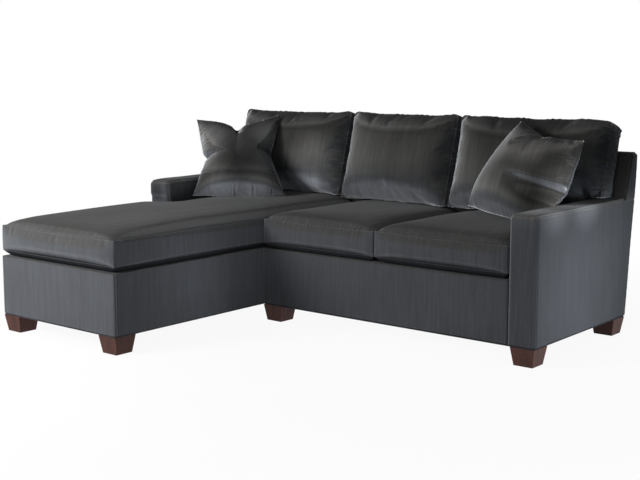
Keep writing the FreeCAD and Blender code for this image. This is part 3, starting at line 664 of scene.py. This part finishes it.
def panel(node, voxel, waviness, proud):
    """A padded cover over the frame: the panel's own form with soft edges that meet in seams."""
    mesh = NODES[node].data.copy()
    mesh.name = node + "_cloth"
    obj = new_object(node + "_cloth", mesh)
    remesh = obj.modifiers.new("even", "REMESH")
    remesh.mode = "VOXEL"
    remesh.voxel_size = voxel / 1000.0
    apply_modifiers(obj)
    points = relax(points_of(obj), edges_of(obj))
    set_points(obj, points)
    points = points + normals_of(obj) * (proud + waviness * waves(points, 260.0, 3))[:, None]
    if "welt" not in node:
        points = soft_edges(node, points)
    if node.startswith("left_arm"):
        points = plump_left_arm(points)
    if node.startswith("chaise"):
        points[:, 0] = points[:, 0].clip(None, X_JOINT - JOINT_ROOM)
    if node.startswith("loveseat"):
        points[:, 0] = points[:, 0].clip(X_JOINT + JOINT_ROOM, None)
    set_points(obj, points)
    settle(obj, node)


# Cushions


def lines_between(stops, step):
    """Coordinates from the first stop to the last, through each stop, about a step apart."""
    stops = sorted(set(stops))
    made = [stops[0]]
    for low, high in zip(stops, stops[1:]):
        count = max(1, round((high - low) / step))
        made += [low + (high - low) * i / count for i in range(1, count + 1)]
    return made


def inside(corners, a, b):
    crossings = 0
    for (a0, b0), (a1, b1) in zip(corners, corners[1:] + corners[:1]):
        if (b0 > b) != (b1 > b) and a < a0 + (b - b0) / (b1 - b0) * (a1 - a0):
            crossings += 1
    return crossings % 2 == 1


def side_of(corners, i):
    """Where a side of an outline starts, and the way to its end."""
    start = np.array(corners[i], float)
    return start, np.array(corners[(i + 1) % len(corners)], float) - start


def edge_distances(corners, plane):
    """Distance from each plane point to each side, and how far along the side it lies."""
    count = len(corners)
    distances = np.empty((len(plane), count))
    along = np.empty((len(plane), count))
    for i in range(count):
        start, side = side_of(corners, i)
        share = np.clip(((plane - start) @ side) / (side @ side), 0, 1)
        distances[:, i] = np.linalg.norm(plane - (start + share[:, None] * side), axis=1)
        along[:, i] = share
    return distances, along


def crease_edges(obj, values):
    attribute = obj.data.attributes.new("crease_edge", "FLOAT", "EDGE")
    attribute.data.foreach_set("value", values)


def name_points(obj, name, points):
    """A named group of points, for the simulation."""
    group = obj.vertex_groups.new(name=name)
    group.add(sorted(int(v) for v in points), 1.0, "REPLACE")


GRID = 10.0
FINE_GRID = 8.0
RESTING_BELOW = 1.5


class Boxed:
    """A cushion of two panels joined by a border strip, on a grid that follows its outline."""

    def __init__(self, corners, low, high, step):
        self.corners = corners
        self.low = low
        self.high = high
        a_lines = lines_between([c[0] for c in corners], step)
        b_lines = lines_between([c[1] for c in corners], step)
        keep = [
            [inside(corners, (a0 + a1) / 2, (b0 + b1) / 2) for b0, b1 in zip(b_lines, b_lines[1:])]
            for a0, a1 in zip(a_lines, a_lines[1:])
        ]
        index = {}
        plane = []
        cells = []
        for i, column in enumerate(keep):
            for j, kept in enumerate(column):
                if not kept:
                    continue
                cell = []
                for di, dj in ((0, 0), (1, 0), (1, 1), (0, 1)):
                    key = (i + di, j + dj)
                    if key not in index:
                        index[key] = len(plane)
                        plane.append((a_lines[key[0]], b_lines[key[1]]))
                    cell.append(index[key])
                cells.append(cell)
        sides = {(p, q): True for cell in cells for p, q in zip(cell, cell[1:] + cell[:1])}
        following = {p: q for p, q in sides if (q, p) not in sides}
        loop = [next(iter(following))]
        while following[loop[-1]] != loop[0]:
            loop.append(following[loop[-1]])
        self.plane = np.array(plane)
        self.cells = cells
        self.loop = loop
        self.rows = max(2, round((high - low) / step))

    def build(self, name, place, top, bottom, shape_plane):
        """A mesh in space. top and bottom give the panels' heights from the edge distances."""
        distances, along = edge_distances(self.corners, self.plane)
        plane = shape_plane(self.plane, distances, along)
        n = len(plane)
        upper = self.high + top(distances)
        lower = self.low - bottom(distances)
        rings = [np.column_stack([plane, upper]), np.column_stack([plane, lower])]
        flat = [np.column_stack([self.plane, upper]), np.column_stack([self.plane, lower])]
        faces = [list(cell) for cell in self.cells]
        faces += [[n + v for v in reversed(cell)] for cell in self.cells]
        count = len(self.loop)
        previous = list(self.loop)
        for row in range(1, self.rows + 1):
            if row < self.rows:
                height = self.high + (self.low - self.high) * (row / self.rows)
                depth = np.full(count, height)
                first = 2 * n + (row - 1) * count
                rings.append(np.column_stack([plane[self.loop], depth]))
                flat.append(np.column_stack([self.plane[self.loop], depth]))
                current = [first + i for i in range(count)]
            else:
                current = [n + v for v in self.loop]
            for i in range(count):
                j = (i + 1) % count
                faces.append([previous[j], previous[i], current[i], current[j]])
            previous = current
        local = np.vstack(rings)
        obj = new_piece(name, place(local), faces)
        keep_local(obj, np.vstack(flat))
        self.mark(obj, local, n)
        return obj

    def mark(self, obj, local, n):
        """Creases and names the seams, and names the part of the underside that rests."""
        seam = set(self.loop) | {n + v for v in self.loop}
        pairs = edges_of(obj)
        level = np.minimum(np.arange(len(local)) // n, 2)
        sewn = np.array([a in seam and b in seam for a, b in pairs])
        sewn &= level[pairs[:, 0]] == level[pairs[:, 1]]
        crease_edges(obj, sewn * 1.0)
        resting = np.flatnonzero((level == 1) & (local[:, 2] < RESTING_BELOW))
        name_points(obj, "seam", seam)
        name_points(obj, "held", resting)


def interp(profile, value):
    """Share of the height at an inward distance, from (distance, share) pairs."""
    xs, ys = zip(*profile)
    return np.interp(value, xs, ys)


UNDERSIDE = ((0, 0.0), (6, 0.34), (14, 0.66), (24, 0.90), (34, 1.0))
BACK_REAR = ((0, 0.0), (4, 0.45), (9, 0.72), (18, 0.9), (30, 1.0))
BACK_FRONT = ((0, 0.0), (6, 0.18), (21, 0.42), (45, 0.70), (75, 0.90), (108, 1.0))


def soft_min(distances, softness):
    """The least distance, eased where two sides are about as near."""
    least = distances.min(axis=1)
    near = np.exp(-(distances - least[:, None]) / softness).sum(axis=1)
    return (least - softness * np.log(near)).clip(0)


def bowed(pulls, corners):
    """Moves each side inwards by its pull at its middle, fading out towards the far side."""
    def shape(plane, distances, along):
        moved = plane.copy()
        for i in range(len(corners)):
            side = side_of(corners, i)[1]
            length = np.linalg.norm(side)
            inward = np.array([-side[1], side[0]]) / length
            fade = np.exp(-distances[:, i] / 160.0) * 4 * along[:, i] * (1 - along[:, i])
            moved += inward * (pulls[i] * length * fade)[:, None]
        return moved
    return shape


def ridges(position, pitch, seed):
    """Uneven parallel folds along a seam: 1 on a fold, 0 between folds."""
    rng = np.random.default_rng(seed)
    turns = position / pitch * 2 * math.pi
    phase = turns
    for scale in (3.1, 7.3, 13.7):
        phase = phase + 1.3 * np.sin(turns / scale + rng.uniform(0, 6.28))
    strength = 0.55 + 0.45 * np.sin(turns / 4.4 + rng.uniform(0, 6.28))
    return (0.5 + 0.5 * np.cos(phase)) ** 1.5 * strength


def gather(obj, corners, side, seam, pitch, height, reach_on, reach_over, seed, span=(0.0, 1.0)):
    """Folds across one seam along one side. They fade out over the panel and the strip."""
    local = local_of(obj)
    distances, along = edge_distances(corners, local[:, :2])
    length = np.linalg.norm(side_of(corners, side)[1])
    near_side = distances[:, side] <= distances.min(axis=1) + 14.0
    over = np.hypot(distances[:, side].clip(0), (local[:, 2] - seam).clip(0))
    below = (seam - local[:, 2]).clip(0)
    fade = np.exp(-over / reach_over) * np.exp(-below / reach_on) * near_side
    share = along[:, side]
    fade *= np.clip((share - span[0]) / 0.06, 0, 1) * np.clip((span[1] - share) / 0.06, 0, 1)
    folds = ridges(share * length + 6.0 * waves(local, 70.0, seed), pitch, seed) - 0.35
    set_points(obj, points_of(obj) + normals_of(obj) * (height * folds * fade)[:, None])


SEAM_DEPTH = 1.2
SEAM_WIDTH = 5.0
CORD_RADIUS = 1.3
ON_SEAM = 0.7


def seam_lines(obj, corners, seams):
    """Draws the cloth in along the seams round the panels and breaks the shading there."""
    local = local_of(obj)
    edge = edge_distances(corners, local[:, :2])[0].min(axis=1)
    gap = np.min([np.hypot(edge, local[:, 2] - seam) for seam in seams], axis=0)
    near = np.exp(-((gap / SEAM_WIDTH) ** 2))
    set_points(obj, points_of(obj) - normals_of(obj) * (SEAM_DEPTH * near)[:, None])
    attributes = obj.data.attributes
    marks = attributes.get("sharp_edge") or attributes.new("sharp_edge", "BOOLEAN", "EDGE")
    marks.data.foreach_set("value", (gap < ON_SEAM)[edges_of(obj)].all(axis=1))


def one_loop(pairs):
    """The points that a ring of edges joins, in order."""
    following = {}
    for p, q in pairs:
        following.setdefault(int(p), []).append(int(q))
        following.setdefault(int(q), []).append(int(p))
    loop = list(following)[:1]
    seen = set(loop)
    while loop:
        ahead = [q for q in following[loop[-1]] if q not in seen]
        if not ahead:
            break
        loop.append(ahead[0])
        seen.add(ahead[0])
    return loop


def seam_cord(obj, corners, seams, node):
    """A thin cord of folded cloth along the seams round the panels."""
    local = local_of(obj)
    edge = edge_distances(corners, local[:, :2])[0].min(axis=1)
    points, normals = points_of(obj), normals_of(obj)
    pairs = edges_of(obj)
    made, faces = [], []
    for seam in seams:
        on_seam = (edge < ON_SEAM) & (np.abs(local[:, 2] - seam) < ON_SEAM)
        loop = one_loop(pairs[on_seam[pairs].all(axis=1)])
        if not loop:
            continue
        line = points[loop]
        tangent = np.roll(line, -1, axis=0) - np.roll(line, 1, axis=0)
        tangent /= np.linalg.norm(tangent, axis=1, keepdims=True).clip(1e-9)
        out = normals[loop] - (normals[loop] * tangent).sum(axis=1, keepdims=True) * tangent
        out /= np.linalg.norm(out, axis=1, keepdims=True).clip(1e-9)
        across = np.cross(tangent, out)
        base = len(made)
        for centre, o, c in zip(line, out, across):
            for k in range(6):
                turn = k * math.pi / 3
                way = (0.2 + math.cos(turn)) * o + math.sin(turn) * c
                made.append(centre + CORD_RADIUS * way)
        count = len(loop)
        for i in range(count):
            for k in range(6):
                a, b = base + i * 6, base + (i + 1) % count * 6
                faces.append([a + k, a + (k + 1) % 6, b + (k + 1) % 6, b + k])
    join_body(new_piece(obj.name + "_seams", np.array(made), faces), node)


# Room beside a cushion for its cord, and how far the seams lie from its underside or rear
SEAM_ROOM = 1.8
SEAT_SEAMS = (24.0, 137.0)
BACK_SEAMS = (26.0, 128.0)
SEAT_CROWN = ((0, 0.0), (10, 0.24), (35, 0.52), (73, 0.76), (115, 0.89), (180, 0.98), (330, 1.06))
SEAT_CLOTH = {"pressure": 1.0, "limit": 4.0, "shrink": 0.003, "bending": 3.0}
# Seat cushions keep their height nearly up to the hidden rear side
REAR_SHARE = 0.22
# The chaise cushion's crown falls by this share over this length towards its foot
CHAISE_FALL = 0.30
CHAISE_RISE = 620.0
# How far each side of a seat cushion swells at half its height
SEAT_SWELL = {
    "seat_cushion_middle": (7.0, 0.0, 0.0, 0.0),
    "seat_cushion_right": (7.0, 0.0, 0.0, 0.0),
    "chaise_cushion": (11.0, 0.0, 0.0, 0.0, 0.0, 11.0),
}


def seat(name, node, corners, crown, pulls, folds=()):
    """A crowned, boxed seat cushion. Its first side is the front and its third the hidden rear."""
    low, high = SEAT_SEAMS
    chaise = name == "chaise_cushion"
    body = Boxed(corners, low, high, FINE_GRID if folds else GRID)
    share = np.array([REAR_SHARE if i == 2 else 1.0 for i in range(len(corners))])

    def top(distances):
        dome = 1.0
        if chaise:
            dome -= CHAISE_FALL * np.clip(1 - distances[:, 0] / CHAISE_RISE, 0, 1) ** 1.5
        return (crown - high) * dome * interp(SEAT_CROWN, soft_min(distances / share, 22.0))

    def bottom(distances):
        return low * interp(UNDERSIDE, soft_min(distances / share, 4.0))

    def place(local):
        out = local.copy()
        distances, along = edge_distances(corners, local[:, :2])
        middle = np.clip(1 - ((local[:, 2] - 80.0) / 57.0) ** 2, 0, 1)
        for side, swell in enumerate(SEAT_SWELL[name]):
            run = side_of(corners, side)[1]
            outward = np.array([run[1], -run[0]]) / np.linalg.norm(run)
            arch = (4 * along[:, side] * (1 - along[:, side])) ** 0.4
            fade = np.exp(-distances[:, side] / 30.0) * arch
            out[:, :2] += outward * (swell * middle * fade)[:, None]
        out[:, 2] += DECK + GAP
        return out

    obj = body.build(name, place, top, bottom, bowed(pulls, corners))
    inflate(obj, **SEAT_CLOTH)
    subdivide(obj)
    seam_lines(obj, corners, SEAT_SEAMS)
    for seed, (side, seam, pitch, height, span) in enumerate(folds):
        gather(obj, corners, side, seam, pitch, height, 16.0, 12.0, seed, span)
    points = points_of(obj)
    upper = np.clip((points[:, 2] - 440.0) / 60.0, 0, 1)
    points[:, 2] += 2.5 * waves(points, 420.0, len(name)) * upper
    left = None if chaise else corners[0][0] + SEAM_ROOM
    points[:, 0] = points[:, 0].clip(left, corners[1][0] - SEAM_ROOM)
    set_points(obj, points)
    settle(obj, node)
    seam_cord(obj, corners, SEAT_SEAMS, node)


BACK_TOP = 934.0
BACK_CLOTH = {"pressure": 2.0, "limit": 10.0, "shrink": 0.02, "bending": 0.3}
# How far the front of a back cushion stands out at its edges and again at its middle
BACK_ROLL = 50.0
BACK_DOME = 52.0
# How much it climbs as it comes forward, its uneven top and its soft outer corners
BACK_CLIMB = 0.27
BACK_SAG = 3.5
BACK_CORNER = 26.0
# Folds of a back cushion: side from the top one, seam, pitch, height, two reaches and a seed
BACK_FOLDS = (
    (-1, BACK_SEAMS[1], 27.0, 7.0, 60.0, 26.0, 5),
    (-1, BACK_SEAMS[0], 31.0, 4.0, 20.0, 40.0, 9),
    (0, BACK_SEAMS[1], 34.0, 3.0, 24.0, 14.0, 3),
    (1, BACK_SEAMS[1], 30.0, 2.5, 30.0, 12.0, 4),
)


def back_corners(x_low, x_high, z_low):
    """A back cushion's outline, which steps out over an arm, and the number of its top side."""
    z_arm = ARM_HEIGHT + GAP
    x_arm = ARM_INNER - SIDE_GAP
    corners = [(x_low, z_low), (x_high, z_low), (x_high, BACK_TOP), (x_low, BACK_TOP)]
    top_side = 2
    if x_high > x_arm:
        corners[1:3] = [(x_arm, z_low), (x_arm, z_arm), (x_high, z_arm), (x_high, BACK_TOP)]
        top_side = 4
    if x_low < -x_arm:
        corners[0] = (-x_arm, z_low)
        corners[3:] = [(x_low, BACK_TOP), (x_low, z_arm), (-x_arm, z_arm)]
    return corners, top_side


def back(name, node, x_low, x_high, z_seat, slant=0.0, ear_drop=0.0):
    """A loose back cushion that leans on the raked back. Local axes: x, height and depth."""
    low, high = BACK_SEAMS
    z_low = z_seat + GAP
    tall = BACK_TOP - z_low
    corners, top_side = back_corners(x_low, x_high, z_low)
    pulls = [0.002] * len(corners)
    pulls[0] = 0.0
    pulls[top_side] = 0.004
    pulls[top_side - 1] = pulls[top_side + 1] = 0.009
    share = np.array([0.95] + [1.0] * (len(corners) - 1))
    body = Boxed(corners, low, high, GRID)
    middle_x = (x_low + x_high) / 2
    half_x = (x_high - x_low) / 2

    def top(distances):
        profile = interp(BACK_FRONT, soft_min(distances / share, 20.0))
        x, z = body.plane.T
        u = np.clip(np.abs(x - middle_x) / half_x, 0, 1)
        v = np.clip(np.abs(2 * (z - z_low) / tall - 1), 0, 1)
        inner = np.clip(distances.min(axis=1) / 45.0, 0, 1)
        dome = (1 - u**2.0) * (1 - v**2.2) ** 0.85 * inner**0.8
        return BACK_ROLL * profile + BACK_DOME * dome

    def bottom(distances):
        return low * interp(BACK_REAR, soft_min(distances / share, 4.0))

    def place(local):
        x, z, depth = local.T
        lifted = z + BACK_CLIMB * depth * (z - z_low) / tall
        y = inner_y(lifted) - (GAP + depth + slant * (x_high - x) / (x_high - x_low))
        uneven = waves(np.column_stack([x, 0 * x, 0 * x]), 150.0, len(name))
        sag = BACK_SAG * uneven * np.clip((z - 880.0) / 54.0, 0, 1)
        ear = np.clip((x - (x_high - 90.0)) / 90.0, 0, 1) ** 2 * np.clip((z - 850.0) / 84.0, 0, 1)
        outer = [(0, x_low, -1), (0, x_high, 1), (2, BACK_TOP, 1)]
        soft = rounded(np.column_stack([x, y, z]), outer, BACK_CORNER)
        height = lifted + sag - ear_drop * ear + (soft[:, 2] - z)
        return np.column_stack([soft[:, 0], y, height])

    obj = body.build(name, place, top, bottom, bowed(pulls, corners))
    inflate(obj, **BACK_CLOTH)
    points = points_of(obj)
    points[:, 0] = points[:, 0].clip(x_low, x_high)
    set_points(obj, points)
    subdivide(obj)
    seam_lines(obj, corners, BACK_SEAMS)
    for side, seam, pitch, height, reach_on, reach_over, seed in BACK_FOLDS:
        side += top_side
        gather(obj, corners, side, seam, pitch, height, reach_on, reach_over, len(name) + seed)
    settle(obj, node)
    seam_cord(obj, corners, BACK_SEAMS, node)


# Throw pillows


def turned(tilt):
    """A turn about z, a lean back and a roll in the pillow's own plane, in degrees."""
    turn, lean, roll = (math.radians(value) for value in tilt)
    rotation = Matrix.Rotation(turn, 3, "Z") @ Matrix.Rotation(-lean, 3, "X")
    return np.array(rotation @ Matrix.Rotation(roll, 3, "Y"))


def resample(stops, count):
    """Evenly spaced points along a line eased through the stops."""
    stops = np.array(stops, float)
    reach = np.concatenate([[0], np.cumsum(np.linalg.norm(np.diff(stops, axis=0), axis=1))])
    at = np.linspace(0, reach[-1], 8 * count)
    fine = np.column_stack([np.interp(at, reach, stops[:, k]) for k in (0, 1)])
    for _ in range(18):
        fine[1:-1] = (fine[:-2] + 2 * fine[1:-1] + fine[2:]) / 4
    reach = np.concatenate([[0], np.cumsum(np.linalg.norm(np.diff(fine, axis=0), axis=1))])
    at = np.linspace(0, reach[-1], count)
    return np.column_stack([np.interp(at, reach, fine[:, k]) for k in (0, 1)])


def segment_distance(points, start, end):
    """Distance from each point to a line, and how far along the line it lies."""
    start = np.array(start, float)
    run = np.array(end, float) - start
    share = np.clip((points - start) @ run / (run @ run), 0, 1)
    return np.linalg.norm(points - start - share[:, None] * run, axis=1), share


def bulge(along, peak, low, high):
    """Fullness from one edge to the other, 1 at the peak. low and high shape the two flanks."""
    share = np.where(along < peak, (peak - along) / (1 + peak), (along - peak) / (1 - peak))
    power = np.where(along < peak, low[0], high[0])
    root = np.where(along < peak, low[1], high[1])
    return (1 - share**power).clip(0) ** root


PILLOW_POINTS = 56
PILLOW_EDGE = 480.0
PILLOW_CLOTH = {"pressure": 2.0, "limit": 7.0, "shrink": 0.02, "bending": 0.05}
# Power and root of the rear's flanks, and its fullness against the front's
REAR_FLANK = (2.5, 0.62)
REAR_FULLNESS = 0.8


def between_edges(bottom, right, top, left):
    """A square grid of points stretched between four edges that run anticlockwise."""
    t, l = top[::-1], left[::-1]
    u = np.linspace(0, 1, PILLOW_POINTS)[:, None, None]
    v = np.linspace(0, 1, PILLOW_POINTS)[None, :, None]
    plane = (1 - v) * bottom[:, None] + v * t[:, None] + (1 - u) * l + u * right
    ends = (1 - u) * (1 - v) * bottom[0] + u * (1 - v) * bottom[-1]
    plane -= ends + (1 - u) * v * t[0] + u * v * t[-1]
    return plane.reshape(-1, 2)


def pillow_shell(flat, front, rear):
    """Points and faces of two panels that share their rim, and the grid's numbers."""
    count = PILLOW_POINTS
    index = np.arange(count * count).reshape(count, count)
    rim = np.ones((count, count), bool)
    rim[1:-1, 1:-1] = False
    behind = index.copy()
    behind[~rim] = count * count + np.arange((~rim).sum())
    inner = ~rim.ravel()
    local = np.vstack([
        np.column_stack([flat[:, 0], -front, flat[:, 1]]),
        np.column_stack([flat[inner, 0], rear[inner], flat[inner, 1]]),
    ])
    ahead = [index[:-1, :-1], index[1:, :-1], index[1:, 1:], index[:-1, 1:]]
    back = [behind[:-1, :-1], behind[:-1, 1:], behind[1:, 1:], behind[1:, :-1]]
    faces = np.moveaxis(np.array([ahead, back]), (0, 1), (2, 3)).reshape(-1, 4).tolist()
    return local, faces, index, rim


def pillow(name, node, edges, crown, fullness, creases, at, tilt):
    """A knife-edged pillow of four edges from the bottom on, with creases pressed into its front.

    A crease: start, end, depth and width on its left and on its right.
    """
    count = PILLOW_POINTS
    b, r, t, l = edges = [resample(side, count) for side in edges]
    flat = between_edges(b, r, t, l)
    uu = np.repeat(np.linspace(-1, 1, count), count)
    vv = np.tile(np.linspace(-1, 1, count), count)
    flank = (0.0, REAR_FLANK, REAR_FLANK)
    rear = REAR_FULLNESS * crown * bulge(uu, *flank) * bulge(vv, *flank)
    front = crown * bulge(uu, *fullness[0]) * bulge(vv, *fullness[1])
    for start, end, depth, on_left, on_right in creases:
        gap, share = segment_distance(flat, start, end)
        run = np.array(end, float) - start
        side = (flat - start) @ np.array([-run[1], run[0]])
        width = np.where(side > 0, on_left, on_right)
        press = depth * np.exp(-((gap / width) ** 2)) * (1 - share) ** 0.7
        front -= press * np.minimum(1.0, rear / 25.0)
    local, faces, index, rim = pillow_shell(flat, front, rear)
    world = local @ turned(tilt).T
    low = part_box(node)[0].z * 1000.0
    world += np.array([at[0], Y_BACK - at[1], low - world[index[:, 0]][:, 2].min()])
    obj = new_piece(name, world, faces)
    keep_local(obj, local[:, [0, 2, 1]])
    seam = set(int(q) for q in index[rim])
    crease_edges(obj, np.array([p in seam and q in seam for p, q in edges_of(obj)]) * 0.6)
    name_points(obj, "seam", seam)
    name_points(obj, "held", [])
    inflate(obj, **PILLOW_CLOTH)
    subdivide(obj)
    outline = [tuple(q) for q in np.vstack([side[:-1] for side in edges])]
    local = local_of(obj)
    distances, along = edge_distances(outline, local[:, :2])
    nearest = distances.argmin(axis=1)
    gap = distances.min(axis=1)
    travelled = (nearest + along[np.arange(len(along)), nearest]) * PILLOW_EDGE / count
    folds = ridges(travelled + 5.0 * waves(local, 60.0, 8), 21.0, len(name)) - 0.3
    lift = 6.0 * folds * np.exp(-gap / 22.0) * np.clip(gap / 6.0, 0, 1)
    set_points(obj, points_of(obj) + normals_of(obj) * lift[:, None])
    settle(obj, node)


# Pieces

for node_name in sorted(NODES):
    loose = "cushion" in node_name or "pillow" in node_name
    if SLOT_OF[node_name] == "velvet" and not loose:
        panel(node_name, *(WELT_CLOTH if "welt" in node_name else PANEL_CLOTH))

y_rear = inner_y(DECK) - SIDE_GAP
seat_split = (X_JOINT + ARM_INNER) / 2 - 10.5
seat_crown = 178.0
chaise_crown = 190.0
top_seam = SEAT_SEAMS[1]
middle_folds = [(0, top_seam, 15.0, 3.0, (0.0, 1.0)), (3, top_seam, 18.0, 2.0, (0.5, 1.0))]
right_folds = [(0, top_seam, 24.0, 1.4, (0.0, 1.0))]
for place, x_left, x_right, folds in (
    ("middle", X_JOINT, seat_split, middle_folds),
    ("right", seat_split, ARM_INNER, right_folds),
):
    x_left += SIDE_GAP
    x_right -= SIDE_GAP
    outline = [(x_left, Y_SOFA), (x_right, Y_SOFA), (x_right, y_rear), (x_left, y_rear)]
    name = f"seat_cushion_{place}"
    seat(name, name + "_cover", outline, seat_crown, [-0.01, 0.002, 0.002, 0.002], folds)

x_left = -WIDTH / 2
x_right = X_JOINT - SIDE_GAP
outline = [
    (x_left, Y_CHAISE + 3.0),
    (x_right, Y_CHAISE + 3.0),
    (x_right, y_rear),
    (SIDE_GAP - ARM_INNER, y_rear),
    (SIDE_GAP - ARM_INNER, Y_SOFA - SIDE_GAP),
    (x_left, Y_SOFA - SIDE_GAP),
]
pulls = [-0.004] + [0.002] * 5
seat("chaise_cushion", "chaise_cushion_cover", outline, chaise_crown - 1.0, pulls)

z_seat = DECK + GAP + seat_crown
z_chaise = DECK + GAP + chaise_crown
back("back_left", "back_cushion_left", -1094.0, -392.5, z_chaise, slant=55.0)
back("back_middle", "back_cushion_middle", -389.5, seat_split - 50.5, z_seat)
back("back_right", "back_cushion_right", seat_split - 47.5, 1056.0, z_seat, ear_drop=14.0)
pillow(
    "pillow_left",
    "throw_pillow_left",
    (
        [(-240, -226), (-80, -236), (90, -240), (241, -236)],
        [(241, -236), (202, -90), (176, 0), (172, 16), (190, 90), (208, 180), (226, 286)],
        [(226, 286), (170, 270), (120, 252), (60, 234), (22, 214)]
        + [(-10, 182), (-38, 218), (-80, 240), (-140, 254), (-227, 264)],
        [(-227, 264), (-208, 130), (-192, 30), (-170, 4), (-194, -54), (-218, -140), (-240, -226)],
    ),
    108.0,
    ((0.0, (2.4, 0.6), (2.4, 0.6)), (-0.5, (2.3, 0.5), (1.7, 0.78))),
    (
        ((-10, 190), (-2, 130), 26.0, 13.0, 16.0),
        ((-176, 4), (-120, -4), 18.0, 12.0, 16.0),
        ((180, 16), (130, 10), 20.0, 18.0, 12.0),
    ),
    (268.0 - WIDTH / 2, 544.5),
    (41.0, 38.7, -1.1),
)
pillow(
    "pillow_right",
    "throw_pillow_right",
    (
        [(-252, -217), (-100, -214), (60, -200), (215, -186)],
        [(215, -186), (270, -90), (294, 4), (268, 116), (248, 237)],
        [(248, 237), (120, 220), (30, 212), (0, 202), (-40, 211), (-120, 226), (-200, 243)],
        [(-200, 243), (-226, 84), (-246, -30), (-254, -120), (-252, -217)],
    ),
    84.0,
    ((-0.42, (2.2, 0.7), (1.35, 0.95)), (-0.1, (2.6, 0.65), (2.2, 0.7))),
    (
        ((0, 206), (-110, 112), 26.0, 24.0, 14.0),
        ((294, 0), (-24, -26), 50.0, 60.0, 12.0),
    ),
    (WIDTH / 2 - 343.0, 421.5),
    (-18.4, 27.5, 9.0),
)
